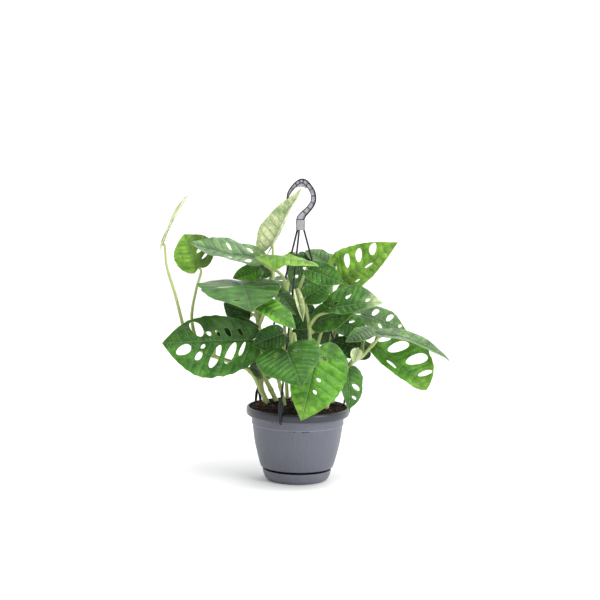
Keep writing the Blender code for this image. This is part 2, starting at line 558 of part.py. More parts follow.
def cross_rib(before, here, after, half):
    """A rib across the hook's web at a point of its line."""
    along = Vector((after[0] - before[0], after[1] - before[1])).normalized() * 0.6
    across = Vector((-along.y, along.x)).normalized() * half
    spot = Vector(here)
    corners = [spot - along - across, spot + along - across, spot + along + across, spot - along + across]
    return plate([(c.x, c.y) for c in corners], HOOK_THICK - 0.5)


def collar():
    """The block that the three strands run into."""
    x = HOOK_LINE[0][0]
    w, low, high = COLLAR_HALF_WIDTH, COLLAR_BOTTOM, COLLAR_TOP
    outline = [(x - w, low), (x + w, low), (x + w, high), (x - w, high)]
    return plate(outline, HOOK_THICK + 1.4)


def strand_and_clip(azimuth):
    """One strand from the collar to the rim, ending in a fork that straddles the rim."""
    turn = math.radians(azimuth)
    out = Vector((math.sin(turn), -math.cos(turn), 0.0))
    middle_x = HOOK_LINE[0][0]

    def at(radius, height):
        return out * radius + Vector((0, 0, height))

    top = Vector((middle_x, 0, COLLAR_BOTTOM + 4.0)) + Vector((out.x * 4.2, out.y * 1.6, 0))
    fork = at(73.0, CLIP_TOP)
    strand = tube([top, fork], [STRAND_RADIUS, STRAND_RADIUS], 2)
    tuck = RIM_TOP - RIM_BAND - GAP - STRAND_RADIUS
    outer = [at(72.4, CLIP_TOP + 3.0), at(CLIP_LEG_OUT - 1.2, CLIP_TOP - 10), at(CLIP_LEG_OUT, RIM_TOP - 1.0),
             at(CLIP_LEG_OUT, tuck + 3.0), at(CLIP_LEG_OUT - 1.4, tuck + 0.4), at(CLIP_LEG_OUT - 5.0, tuck)]
    inner = [at(73.2, CLIP_TOP + 2.6), at(CLIP_LEG_IN + 1.2, CLIP_TOP - 12), at(CLIP_LEG_IN, RIM_TOP - 2.0)]
    legs = [tube(outer, [STRAND_RADIUS + 0.1] * len(outer), 2), tube(inner, [STRAND_RADIUS + 0.2] * len(inner), 2)]
    return [strand] + legs


def make_hanger(group, finish):
    """The moulded hanger: hook, collar and three strands whose forks clip on the rim."""
    pieces = [collar()] + hook_pieces()
    for azimuth in CLIP_AZIMUTHS:
        pieces += strand_and_clip(azimuth)
    hanger = fuse(pieces[0], pieces[1:])
    return settle(hanger, "hanger", group, finish)


def axes(row):
    """A leaf's own directions: along its chord, out of its upper side, and to its right."""
    along = Vector(row["tip"]) - Vector(row["base"])
    length = along.length
    along.normalize()
    up = Vector(row["face"])
    up = (up - up.dot(along) * along).normalized()
    return along, up, along.cross(up), length


def flat_length(row):
    """The length of the midrib before it is arched over the chord."""
    half = math.radians(row["arch"]) / 2
    length = axes(row)[3]
    return length if abs(half) < 0.001 else length * half / math.sin(half)


def half_width(row, side, share):
    """How wide the blade is on one side at a share of its length."""
    full = row["left"] if side < 0 else row["right"]
    shape = row["shape"]
    for (a, wa), (b, wb) in zip(shape[3:], shape[4:]):
        if share <= b:
            return full * (wa + (wb - wa) * max(0.0, (share - a) / (b - a)))
    return full * shape[-1][1]


def outline(row):
    """The flat outline, anticlockwise from the stalk."""
    length = flat_length(row)

    def side(full):
        return [(full * w, length * (v * row["lobe"] if v < 0 else v)) for v, w in row["shape"]]

    right, left = side(row["right"]), side(-row["left"])
    return [(0.0, 0.0)] + right + [(0.0, length)] + left[::-1]


def hole(row, spec, sides=6):
    """One hole's flat outline: an eye along the side vein that it lies beside."""
    side, share, inner, outer, width = spec
    sign = -1 if side == "L" else 1
    length = flat_length(row)
    full = half_width(row, sign, share)
    middle = full * (inner + outer) / 2
    reach = full * (outer - inner) / 2
    ring = []
    for i in range(sides):
        turn = math.tau * i / sides
        across = middle + reach * math.cos(turn)
        rise = VEIN_RISE * reach * math.cos(turn)
        ring.append((sign * across, length * share + rise + width / 2 * math.sin(turn)))
    return ring


def inside(point, ring):
    """Whether a flat point lies within a closed outline."""
    x, y = point
    within = False
    for (ax, ay), (bx, by) in zip(ring, ring[1:] + ring[:1]):
        if (ay > y) != (by > y) and x < (bx - ax) * (y - ay) / (by - ay) + ax:
            within = not within
    return within


def bend(row, x, y):
    """The place in space of a flat point of the blade."""
    along, up, across, length = axes(row)
    arch = math.radians(row["arch"])
    share = y / flat_length(row)
    slope = arch * (0.5 - share)
    if abs(arch) < 0.002:
        spot = along * (length * share)
    else:
        radius = flat_length(row) / arch
        spot = along * radius * (math.sin(arch / 2) - math.sin(slope)) + up * radius * (
            math.cos(slope) - math.cos(arch / 2))
    out = up * math.cos(slope) - along * math.sin(slope)
    turn = math.radians(row["twist"]) * share
    side = across * math.cos(turn) + out * math.sin(turn)
    out = out * math.cos(turn) - across * math.sin(turn)
    tilt = math.radians(row["fold"])
    full = row["left"] if x < 0 else row["right"]
    lift = abs(x) * math.sin(tilt) + row["curl"] * (x / full) ** 2
    lift += row["wave"] * (x / full) ** 2 * math.sin(math.tau * 1.5 * share + (0.8 if x < 0 else 0.0))
    return Vector(row["base"]) + spot + side * x * math.cos(tilt) + out * lift


def inner_points(row, rings):
    """A few points on the blade between its veins, clear of its edge and its holes."""
    length = flat_length(row)
    points = []
    for share in (0.08, 0.28, 0.48, 0.68, 0.86):
        for sign in (-1, 1):
            for part in (0.33, 0.68):
                spot = (sign * half_width(row, sign, share) * part, length * share)
                near = min((Vector(spot) - Vector(p)).length for ring in rings for p in ring)
                if near > 3.0 and not any(inside(spot, ring) for ring in rings[1:]):
                    points.append(spot)
    return points


def make_leaf(name, row, group):
    """One blade: its flat outline with its holes, cut in triangles, bent and given its thickness."""
    edge = outline(row)
    rings = [edge] + [hole(row, spec) for spec in row["holes"]]
    length = flat_length(row)
    flat, lines = [], []
    for ring in rings:
        start = len(flat)
        flat += [Vector(p) for p in ring]
        lines += [(start + i, start + (i + 1) % len(ring)) for i in range(len(ring))]
    spine = [(0.0, length * share) for share in (0.12, 0.26, 0.40, 0.54, 0.68, 0.80, 0.91)]
    chain = [0] + list(range(len(flat), len(flat) + len(spine))) + [1 + len(row["shape"])]
    flat += [Vector(p) for p in spine]
    lines += list(zip(chain, chain[1:]))
    flat += [Vector(p) for p in inner_points(row, rings)]
    verts, _, faces, *_ = geometry.delaunay_2d_cdt(flat, lines, [], 0, 0.001)
    kept = []
    for face in faces:
        middle = sum((verts[i] for i in face), Vector((0, 0))) / len(face)
        if inside(middle, edge) and not any(inside(middle, ring) for ring in rings[1:]):
            kept.append(face)
    used = sorted({i for face in kept for i in face})
    place = {old: new for new, old in enumerate(used)}
    mesh = bpy.data.meshes.new(name)
    mesh.from_pydata([bend(row, *verts[i]) * MM for i in used], [], [[place[i] for i in face] for face in kept])
    blade = bpy.data.objects.new(name, mesh)
    bpy.context.scene.collection.objects.link(blade)
    thick = blade.modifiers.new("thickness", "SOLIDIFY")
    thick.thickness = BLADE * MM
    thick.offset = 0.0
    names = {GREEN: "leaf_green", FRESH: "leaf_fresh", PALE: "leaf_pale", GREY_GREEN: "leaf_grey_green"}
    return settle(blade, name, group, material(names[row["colour"]], row["colour"], 0.4))


def stalk_end(row):
    """The last two points of a stalk: below and behind the leaf, then just short of its underside."""
    along, up, _, _ = axes(row)
    half = math.radians(row["arch"]) / 2
    out = up * math.cos(half) - along * math.sin(half)
    back = along * math.cos(half) + up * math.sin(half)
    base = Vector(row["base"])
    pull = base - out * row["reach"] - back * row["reach"] * 0.55
    lean = (base - pull).normalized().dot(out)
    short = BLADE / 2 + GAP + PETIOLE_TIP_RADIUS * math.sqrt(max(0.0, 1 - lean ** 2)) + 0.15
    return [pull, base - out * short]


def make_vine(name, spec, group, finish):
    """One vine: its stem with the leaf stalks that grow from it, joined in one solid."""
    foot, line = stem_line(spec)
    knots = foot[1:] + [Vector(p) for p in spec["stem"][1:]]
    widest, last = STEM_RADIUS * spec.get("thick", 1.0), len(line) - 1
    sizes = [widest + (STEM_RADIUS * 0.75 - widest) * i / last for i in range(len(line))]
    stem = tube(line, sizes, STEM_SIDES)
    stalks = []
    for leaf_name, start, passing in spec["stalks"]:
        row = LEAVES[leaf_name]
        route = [knots[start]] + [Vector(p) for p in passing]
        path = smooth_line(route + stalk_end(row), STALK_STEPS)
        radii = [PETIOLE_FOOT_RADIUS + (PETIOLE_TIP_RADIUS - PETIOLE_FOOT_RADIUS) * i / (len(path) - 1)
                 for i in range(len(path))]
        stalks.append(tube(path, radii, PETIOLE_SIDES))
    vine = fuse(stem, stalks)
    return settle(vine, name, group, finish)


def main():
    """Make every piece of the plant and its pot."""
    clear_scene()
    group = collection("hanging_monstera")
    plastic = material("pot_plastic", (0.115, 0.125, 0.15), 0.42)
    make_pot(group, plastic)
    make_saucer(group, plastic)
    make_soil(group, material("soil", (0.06, 0.03, 0.018), 0.95))
    make_hanger(group, material("hanger_plastic", (0.20, 0.21, 0.23), 0.5))
    green_stem = material("stem_green", (0.42, 0.55, 0.22), 0.5)
    for name, spec in VINES.items():
        make_vine(name, spec, group, green_stem)
    for name, row in LEAVES.items():
        make_leaf(name, row, group)


main()
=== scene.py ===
"""Hanging-pot monstera, dressed over its CAD frame: climbing vines, perforated leaves, pot, saucer and hanger.

Lengths in the tables are millimetres, and are scaled to metres where a piece is made.
"""

import math
import random

import bmesh
import bpy
import numpy as np
from bpy.props import FloatProperty, FloatVectorProperty, IntProperty, PointerProperty
from bpy.types import Operator, Panel, PropertyGroup
from mathutils import Euler, Matrix, Vector, geometry, kdtree, noise


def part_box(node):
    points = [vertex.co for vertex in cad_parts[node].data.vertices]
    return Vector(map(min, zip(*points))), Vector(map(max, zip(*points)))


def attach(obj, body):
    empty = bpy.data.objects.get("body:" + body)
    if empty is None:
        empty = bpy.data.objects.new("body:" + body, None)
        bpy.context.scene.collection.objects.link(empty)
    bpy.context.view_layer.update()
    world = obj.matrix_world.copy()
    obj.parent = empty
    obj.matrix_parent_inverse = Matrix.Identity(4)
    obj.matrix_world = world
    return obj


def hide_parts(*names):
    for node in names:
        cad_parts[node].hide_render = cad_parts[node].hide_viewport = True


bl_info = {
    "name": "Hanging Monstera",
    "version": (1, 0, 0),
    "blender": (4, 5, 0),
    "location": "View3D > Sidebar > Monstera",
    "description": "A potted climbing monstera with perforated leaves, a saucer and a three-strand hanger",
    "category": "Add Mesh",
}

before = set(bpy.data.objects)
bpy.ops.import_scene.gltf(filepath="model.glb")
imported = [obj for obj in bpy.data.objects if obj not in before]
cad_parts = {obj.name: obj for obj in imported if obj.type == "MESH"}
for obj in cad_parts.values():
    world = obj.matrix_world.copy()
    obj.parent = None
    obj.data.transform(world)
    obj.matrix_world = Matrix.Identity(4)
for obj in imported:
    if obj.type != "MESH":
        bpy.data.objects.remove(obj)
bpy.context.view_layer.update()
MM = 0.001

# Pot, saucer and soil
RIM_TOP = 107.0
BAND_BOTTOM = 95.0
PIN_HEIGHT = 93.0
LEDGE_EDGE = 82.4
LEDGE_SLOT = 81.4
LIP_EDGE = 16.6
FLUTES = 96.0
WAIST = ((65.7, 81.4), (65.3, 76.0), (64.4, 70.0), (62.0, 54.0), (58.0, 37.5), (54.7, 25.6), (52.7, 20.1))
POT_WALL = 1.8
FOOT_Z = 2.9
SOIL_EDGE = 104.8
SOIL_CROWN = 111.0
SOIL_RADIUS = 68.0
CRUST_RADIUS = 70.0
CRUST_BOTTOM = 97.5
CHIP_FIELD = 67.5
DRAIN_RING = 24.0
DRAIN_RADIUS = 4.5
SAUCER = (
    (49.0, 16.2), (49.5, 16.15), (49.9, 15.8), (50.0, 15.3), (49.3, 11.4), (48.4, 8.0), (47.4, 5.4), (46.2, 3.2),
    (45.0, 1.9), (43.6, 0.8), (42.2, 0.2), (41.2, 0.0), (38.6, 0.0), (37.8, 0.5), (0.0, 0.5), (0.0, 2.6),
    (40.5, 2.6), (44.4, 5.4), (46.6, 9.2), (48.0, 15.6), (48.4, 16.1),
)
BARK_TONES = (
    (0.012, 0.006, 0.004), (0.045, 0.016, 0.009), (0.008, 0.004, 0.003), (0.024, 0.010, 0.006),
    (0.015, 0.007, 0.005), (0.11, 0.036, 0.018), (0.010, 0.005, 0.004), (0.17, 0.060, 0.032),
)

# Hanger
COLLAR_X = -1.4
COLLAR_BOTTOM = 363.5
COLLAR_TOP = 378.0
COLLAR_HALF_WIDTH = 6.2
CLIP_AZIMUTHS = (-19.0, -126.0, 103.0)
CLIP_TOP = 127.0
HOOK_LINE = (
    (-1.4, 369.0, 5.9), (-1.7, 378.5, 6.0), (2.0, 385.5, 5.0), (7.6, 391.5, 4.4), (13.0, 398.0, 4.1),
    (16.2, 404.5, 3.9), (16.8, 411.0, 3.8), (15.2, 418.5, 3.8), (10.6, 426.0, 3.7), (4.8, 432.3, 3.6),
    (-0.8, 434.0, 3.4), (-6.0, 431.6, 3.2), (-11.0, 427.0, 3.1), (-15.4, 421.6, 2.9), (-19.0, 415.4, 2.4),
    (-20.8, 409.4, 1.4),
)
HOOK_GUSSET = (
    (-9.0, 424.4), (-4.5, 425.7), (-1.0, 425.9), (2.9, 425.2), (6.6, 423.6), (8.6, 424.6), (5.0, 429.0),
    (0.0, 431.0), (-6.0, 429.0),
)
HOOK_RIBS = (2.6, 3.6, 4.7, 6.2, 7.4, 8.6, 9.6, 10.6, 11.6, 12.8)

# Foliage
STEM_FOOT = 92.0
STEM_RISE = 16.0
VEIN_RISE = 0.45
OVATE = (
    (-0.050, 0.15), (-0.070, 0.36), (-0.030, 0.60), (0.070, 0.82), (0.210, 0.97), (0.360, 1.0),
    (0.520, 0.94), (0.670, 0.78), (0.800, 0.54), (0.900, 0.29), (0.960, 0.12),
)
BROAD = (
    (-0.050, 0.15), (-0.070, 0.34), (-0.030, 0.55), (0.070, 0.74), (0.210, 0.90), (0.380, 0.99),
    (0.540, 1.0), (0.690, 0.87), (0.820, 0.60), (0.910, 0.32), (0.965, 0.13),
)
BLUNT = (
    (-0.050, 0.15), (-0.070, 0.36), (-0.030, 0.60), (0.070, 0.80), (0.210, 0.94), (0.380, 1.0),
    (0.550, 0.99), (0.710, 0.90), (0.840, 0.72), (0.930, 0.46), (0.980, 0.20),
)
HEART = (
    (-0.120, 0.14), (-0.190, 0.36), (-0.170, 0.62), (-0.060, 0.87), (0.080, 0.99), (0.240, 0.98),
    (0.420, 0.86), (0.600, 0.65), (0.760, 0.41), (0.880, 0.20), (0.950, 0.08),
)
GREEN = (0.048, 0.165, 0.018)
# A darker green for the leaves deep inside the plant and at its back: painted shade on leaves of the ordinary green.
SHADED_GREEN = (0.020, 0.085, 0.008)
FRESH = (0.085, 0.270, 0.020)
LIME = (0.160, 0.350, 0.035)
PALE = (0.550, 0.650, 0.370)
GREY_GREEN = (0.085, 0.185, 0.055)
LIGHT_VEIN = (0.62, 0.72, 0.42)

# Stage: each light's place, its size and its share of the key light's power
LIGHTS = {
    "key_light": ((1.7, -1.5, 1.2), 1.3, 1.0),
    "top_light": ((0.3, -0.5, 2.3), 1.0, 0.7),
    "back_light": ((0.7, 1.9, 1.7), 1.4, 0.4),
}
LIGHT_TARGET = (0, 0, 0.2)
FLOOR_RADIUS = 3.0
FLOOR_DROP = 0.2
LENS = 100.44
CAMERA_PITCH = 6.6
CAMERA_LEAN = 1.1


# sides is a gain on the green of each half of a leaf; where it is not 1 it is painted light and shade.
def leaf(base, tip, face, left, right, arch=20.0, fold=6.0, wave=2.2, lobe=1.0, shape=OVATE, reach=9.0, holes=(),
         colour=GREEN, tip_colour=None, sides=(1.0, 1.0), veins=8, quilt=0.55):
    """One leaf: where its stalk meets it, its tip, which way its upper side looks and its two half widths."""
    return dict(base=base, tip=tip, face=face, left=left, right=right, arch=arch, fold=fold, wave=wave, lobe=lobe,
                shape=shape, reach=reach, holes=holes, colour=colour, tip_colour=tip_colour or colour, sides=sides,
                veins=veins, quilt=quilt)


# A hole is: side, place along the midrib, its inner and outer share of the half width, its width in mm
LEAVES = {
    "far_left": leaf((-197, -20, 341), (-163, -20, 413), (-0.9, -0.1, 0.44), 24, 24, arch=6, fold=10, lobe=1.5,
        reach=4, colour=PALE, wave=0.5),
    # left_upper: sides darken its right half to 0.42, a painted shadow.
    "left_upper": leaf((-148, 10, 306), (-172, 48, 350), (-0.22, -0.8, 0.48), 27, 34, arch=20, fold=6, lobe=1.3,
        colour=LIME, sides=(1.05, 0.42), holes=(("R", 0.42, 0.2, 0.8, 8), ("R", 0.2, 0.3, 0.8, 5))),
    "left_long": leaf((-56, 15, 319), (-161, -5, 342), (0.2, -0.36, 0.92), 32, 36, arch=-8, fold=8,
        colour=GREY_GREEN, holes=(("L", 0.2, 0.3, 0.75, 9), ("R", 0.16, 0.3, 0.7, 8), ("R", 0.45, 0.3, 0.7, 6),
        ("L", 0.45, 0.3, 0.7, 7))),
    "left_broad": leaf((-88, 20, 286), (-67, -105, 258), (0.0, -0.25, 0.95), 52, 66, arch=22, fold=3, lobe=1.6,
        quilt=1.0, holes=(("R", 0.75, 0.25, 0.5, 6), ("R", 0.35, 0.2, 0.6, 5))),
    # left_mask: sides paint its upper half in shadow and make its lower half lighter, painted light and shade.
    "left_mask": leaf((-67, -30, 207), (-195, -45, 202), (-0.05, -0.93, 0.3), 53, 36, arch=14, fold=5, shape=BROAD,
        lobe=1.2, colour=GREEN, sides=(1.15, 0.62), veins=9, holes=(("R", 0.61, 0.2, 0.85, 17),
        ("R", 0.48, 0.2, 0.38, 6), ("R", 0.38, 0.15, 0.42, 6), ("R", 0.27, 0.15, 0.55, 8), ("R", 0.13, 0.2, 0.6, 6),
        ("L", 0.76, 0.08, 0.5, 20), ("L", 0.55, 0.08, 0.2, 6), ("L", 0.60, 0.28, 0.55, 9),
        ("L", 0.42, 0.12, 0.75, 12), ("L", 0.25, 0.06, 0.7, 12), ("L", 0.12, 0.06, 0.55, 6))),
    "front_heart": leaf((-17, -70, 197), (4, -116, 154), (-0.05, -0.75, 0.65), 45, 47, arch=24, fold=-2, lobe=1.5,
        shape=HEART, quilt=0.9, holes=(("L", 0.05, 0.2, 0.4, 4), ("R", 0.0, 0.25, 0.45, 5))),
    "front_bright": leaf((28, -42, 200), (5, -98, 104), (0.1, -0.75, 0.55), 48, 32, arch=30, fold=4, lobe=1.6,
        colour=FRESH, tip_colour=LIME, quilt=1.1, holes=(("L", 0.15, 0.15, 0.35, 7), ("L", 0.45, 0.15, 0.3, 5),
        ("L", 0.62, 0.15, 0.3, 5))),
    "right_droop": leaf((71, -25, 168), (73, -42, 110), (0.5, -0.85, 0.1), 22, 16, arch=18, fold=10,
        holes=(("L", 0.45, 0.2, 0.75, 8), ("L", 0.7, 0.2, 0.6, 4))),
    "right_mask": leaf((108, -2, 198), (184, -32, 140), (0.1, -0.85, 0.45), 48, 15, arch=14, fold=6, shape=BLUNT,
        colour=FRESH, tip_colour=LIME, holes=(("L", 0.28, 0.15, 0.75, 17), ("L", 0.60, 0.2, 0.85, 16),
        ("L", 0.82, 0.2, 0.75, 8), ("L", 0.05, 0.25, 0.7, 9), ("R", 0.38, 0.25, 0.5, 18))),
    "right_long": leaf((115, -33, 218), (216, -28, 180), (0.25, -0.25, 0.93), 22, 17, arch=44, fold=10,
        colour=GREY_GREEN, wave=0.4, holes=(("L", 0.3, 0.3, 0.7, 6),)),
    "right_grey": leaf((106, 8, 221), (66, -24, 206), (-0.1, -0.6, 0.75), 20, 12, arch=26, fold=4,
        colour=GREY_GREEN),
    "right_back": leaf((91, 40, 237), (160, 54, 209), (0.1, -0.8, 0.6), 24, 18, arch=16, fold=5, colour=GREY_GREEN,
        holes=(("L", 0.55, 0.2, 0.8, 8), ("L", 0.25, 0.2, 0.8, 8), ("L", 0.8, 0.2, 0.7, 5),
        ("R", 0.4, 0.2, 0.6, 6))),
    "right_upper": leaf((62, 10, 291), (139, -5, 349), (-0.25, -0.85, 0.42), 40, 28, arch=10, fold=8, colour=LIME,
        shape=HEART, sides=(1.0, 0.75), holes=(("L", 0.0, 0.42, 0.85, 6), ("L", 0.21, 0.28, 0.75, 9),
        ("L", 0.40, 0.25, 0.75, 11), ("L", 0.63, 0.2, 0.8, 13), ("R", 0.45, 0.1, 0.26, 13),
        ("R", 0.2, 0.5, 0.62, 8))),
    "right_middle": leaf((44, -28, 255), (117, -42, 265), (-0.05, -0.75, 0.65), 34, 14, arch=20, fold=2, lobe=2.2,
        tip_colour=PALE, quilt=0.8, holes=(("L", 0.35, 0.3, 0.6, 7), ("L", 0.1, 0.1, 0.3, 6),
        ("L", 0.72, 0.1, 0.4, 6))),
    "centre_right": leaf((8, -15, 268), (46, -8, 290), (-0.35, -0.85, 0.45), 17, 22, arch=12, fold=5, lobe=1.6,
        holes=(("L", 0.2, 0.2, 0.5, 5),)),
    "pale_tall": leaf((-43, 42, 338), (-1, 34, 422), (-0.57, 0.75, 0.32), 22, 26, arch=6, fold=40, shape=HEART,
        reach=5, colour=PALE, wave=0.4),
    "pale_curled": leaf((-55, -22, 328), (26, -58, 317), (0.05, -0.35, 0.93), 18, 20, arch=16, fold=-14, lobe=1.4,
        colour=LIME, wave=5.0),
    "back_small": leaf((50, 42, 308), (6, 58, 328), (0.0, -0.6, 0.8), 18, 18, arch=16, fold=6, colour=GREY_GREEN),
    "small_bright": leaf((-60, -50, 262), (-5, -84, 232), (0.2, -0.6, 0.75), 20, 18, arch=20, fold=6, colour=FRESH,
        holes=(("L", 0.6, 0.15, 0.4, 3),)),
    "bluish": leaf((-32, -27, 278), (-5, -46, 246), (0.3, -0.85, 0.4), 12, 12, arch=14, fold=8, colour=GREY_GREEN),
    "left_shadow": leaf((-72, 16, 240), (-112, 30, 252), (-0.2, -0.9, 0.3), 22, 20, arch=10, fold=8, colour=SHADED_GREEN),
    "under_long": leaf((-60, 26, 304), (-98, 10, 291), (0.0, -0.8, 0.6), 18, 12, arch=14, fold=12, colour=FRESH),
    "young_right": leaf((84, -32, 196), (78, -38, 179), (0.1, -0.9, 0.3), 9, 9, arch=10, fold=12, reach=5,
        colour=PALE, wave=0.2, quilt=0.1),
    "inner_right": leaf((56, 28, 228), (98, 10, 214), (0.0, -0.8, 0.6), 22, 20, arch=16, fold=5,
        holes=(("L", 0.4, 0.2, 0.6, 6),)),
    "inner_middle": leaf((20, 22, 240), (-22, 34, 226), (0.1, -0.85, 0.5), 22, 22, arch=16, fold=5, colour=SHADED_GREEN),
    "rolled_pale": leaf((-6, -35, 279), (5, -50, 238), (0.2, -0.9, 0.1), 9, 8, arch=14, fold=48, reach=5,
        colour=PALE, wave=0.3, quilt=0.2),
    "inner_back": leaf((50, 72, 209), (-23, 41, 197), (0.15, -0.72, 0.76), 25, 22, arch=22, fold=4, colour=SHADED_GREEN),
    "inner_left": leaf((-24, -37, 218), (-66, -42, 200), (0.14, -0.68, 0.42), 21, 18, arch=19, fold=10,
        colour=SHADED_GREEN),
    "inner_top": leaf((-6, 55, 322), (9, 21, 251), (0.25, -0.49, 0.33), 25, 25, arch=15, fold=9, colour=SHADED_GREEN,
        holes=(("L", 0.3, 0.2, 0.7, 7), ("R", 0.45, 0.2, 0.7, 6))),
    "inner_low_right": leaf((102, 27, 187), (44, 21, 201), (0.21, -0.97, 0.62), 22, 16, arch=12, fold=5,
        colour=SHADED_GREEN),
    "inner_upper": leaf((22, 0, 231), (80, -37, 253), (-0.27, -0.88, 0.48), 24, 22, arch=12, fold=5),
    "inner_high": leaf((10, -23, 309), (62, -42, 292), (0.06, -0.85, 0.25), 18, 15, arch=12, fold=5, reach=12),
    "inner_high_left": leaf((-38, 63, 313), (-76, 44, 283), (-0.2, -0.64, 0.39), 17, 13, arch=18, fold=4,
        colour=SHADED_GREEN),
    "inner_low_left": leaf((-56, 14, 157), (-72, -30, 166), (0.24, -0.96, 0.31), 16, 12, arch=21, fold=6,
        colour=SHADED_GREEN),
    "inner_far_left": leaf((-116, -21, 217), (-57, -19, 225), (-0.36, -0.67, 0.17), 19, 19, arch=19, fold=5,
        colour=SHADED_GREEN),
    "back_left": leaf((-48, 62, 246), (-104, 112, 212), (-0.35, 0.55, 0.75), 36, 36, arch=26, fold=5,
        holes=(("L", 0.3, 0.2, 0.75, 9), ("L", 0.55, 0.2, 0.75, 9), ("R", 0.3, 0.2, 0.75, 9),
        ("R", 0.55, 0.2, 0.75, 8))),
    "back_top": leaf((2, 62, 286), (-16, 146, 258), (0.0, 0.45, 0.88), 40, 40, arch=26, fold=5,
        holes=(("L", 0.3, 0.2, 0.75, 9), ("L", 0.55, 0.2, 0.7, 9), ("R", 0.25, 0.2, 0.7, 8),
        ("R", 0.5, 0.2, 0.75, 10))),
    "back_right": leaf((58, 62, 240), (108, 120, 208), (0.35, 0.5, 0.78), 36, 36, arch=26, fold=5,
        holes=(("L", 0.3, 0.2, 0.75, 9), ("L", 0.6, 0.2, 0.75, 9), ("R", 0.4, 0.2, 0.75, 10))),
    "back_low_left": leaf((-26, 92, 186), (-46, 142, 122), (-0.2, 0.85, 0.5), 34, 34, arch=26, fold=5,
        holes=(("L", 0.35, 0.2, 0.7, 8), ("R", 0.45, 0.2, 0.7, 8))),
    "back_low_right": leaf((38, 90, 176), (52, 136, 116), (0.2, 0.85, 0.5), 32, 32, arch=26, fold=5,
        holes=(("L", 0.4, 0.2, 0.7, 8),)),
    "back_side": leaf((78, 46, 196), (118, 80, 184), (0.5, 0.3, 0.8), 26, 26, arch=22, fold=5, colour=FRESH),
}

# Each vine: how thick its stem is beside the others, the points of the stem above the soil, then its leaf stalks
# as the leaf, the stem point that it leaves from and the points that it passes
VINES = {
    "vine_left": dict(
        thick=1.4,
        stem=((-44, -4), (-54, -5, 131), (-70, -5, 158), (-97, -4, 170), (-124, -4, 179), (-146, -4, 189),
              (-162, -4, 199)),
        stalks=(("far_left", 6, ((-169, -8, 227), (-179, -14, 268), (-191, -19, 308))),
                ("left_upper", 5, ((-156, 2, 232), (-151, 12, 272))),
                ("inner_far_left", 4, ()))),
    "vine_left_middle": dict(
        thick=1.3,
        stem=((-30, 6), (-40, 4, 130), (-54, -2, 160), (-58, 0, 192), (-60, 2, 222), (-64, 8, 246)),
        stalks=(("left_broad", 5, ((-76, 18, 262),)),
                ("left_long", 4, ((-44, 32, 262), (-40, 34, 296))),
                ("under_long", 4, ((-58, 34, 258), (-60, 38, 286))),
                ("left_mask", 2, ((-46, -6, 186),)),
                ("left_shadow", 3, ((-58, 18, 222),)),
                ("small_bright", 4, ((-52, -20, 244),)),
                ("inner_high_left", 5, ()))),
    "vine_middle": dict(
        stem=((-8, 14), (-8, 12, 140), (-10, 8, 190), (-16, 2, 236), (-22, -4, 262)),
        stalks=(("pale_curled", 4, ((-24, -8, 294), (-42, -12, 310))),
                ("pale_tall", 3, ((-36, 8, 268), (-40, 30, 304))),
                ("bluish", 3, ((-29, -10, 258),)),
                ("rolled_pale", 4, ((-10, -12, 264), (-2, -27, 270))),
                ("inner_top", 4, ()),
                ("inner_high", 3, ()))),
    "vine_right_middle": dict(
        stem=((18, 4), (16, 0, 140), (16, -6, 190), (14, -8, 226), (10, -6, 246)),
        stalks=(("centre_right", 4, ((8, -8, 256),)),
                ("right_middle", 3, ((26, -16, 242),)),
                ("inner_upper", 3, ((19, 8, 214),)))),
    "vine_right": dict(
        thick=1.2,
        stem=((40, -6), (48, -8, 130), (60, -10, 156), (74, -12, 172), (90, -16, 184), (104, -20, 200)),
        stalks=(("right_long", 5, ((110, -26, 208),)),
                ("right_mask", 4, ((98, -4, 190),)),
                ("right_droop", 2, ((64, -14, 164),)),
                ("young_right", 3, ((80, -20, 184),)),
                ("right_grey", 4, ((94, 8, 204),)))),
    "vine_back_right": dict(
        stem=((32, 28), (36, 32, 140), (44, 34, 180), (52, 38, 212), (56, 40, 226)),
        stalks=(("right_back", 4, ((76, 42, 230),)),
                ("inner_right", 2, ((48, 32, 214),)),
                ("inner_back", 2, ()),
                ("right_upper", 4, ((62, 38, 256), (66, 28, 278))),
                ("back_small", 4, ((46, 48, 262), (50, 50, 294))),
                ("back_right", 4, ((57, 54, 232),)),
                ("back_side", 2, ((64, 42, 190),)),
                ("back_low_right", 1, ((38, 64, 160),)))),
    "vine_back_left": dict(
        stem=((-16, 42), (-18, 50, 140), (-20, 54, 190), (-24, 54, 232)),
        stalks=(("back_left", 3, ((-38, 58, 244),)),
                ("back_top", 3, ((-6, 54, 270),)),
                ("back_low_left", 1, ((-22, 72, 168),)))),
    "vine_front_left": dict(
        thick=1.2,
        stem=((-19, -21), (-26, -18, 138), (-39, -18, 177)),
        stalks=(("front_heart", 2, ((-32, -40, 184),)),)),
    "vine_front": dict(
        thick=1.2,
        stem=((5, -24), (-1, -32, 138), (-1, -34, 179), (-7, -39, 217)),
        stalks=(("inner_left", 3, ()),)),
    "vine_front_right": dict(
        stem=((41, -31), (47, -32, 138), (48, -28, 182)),
        stalks=(("front_bright", 2, ((44, -30, 192),)),)),
    "vine_centre": dict(
        stem=((8, 24), (15, 29, 138), (24, 25, 181), (34, 26, 220)),
        stalks=(("inner_middle", 3, ()),)),
    "vine_side_right": dict(
        stem=((49, 19), (63, 22, 138), (82, 23, 181)),
        stalks=(("inner_low_right", 2, ()),)),
    "vine_side_left": dict(
        stem=((-49, 17), (-54, 23, 138), (-53, 25, 175)),
        stalks=(("inner_low_left", 1, ()),)),
}


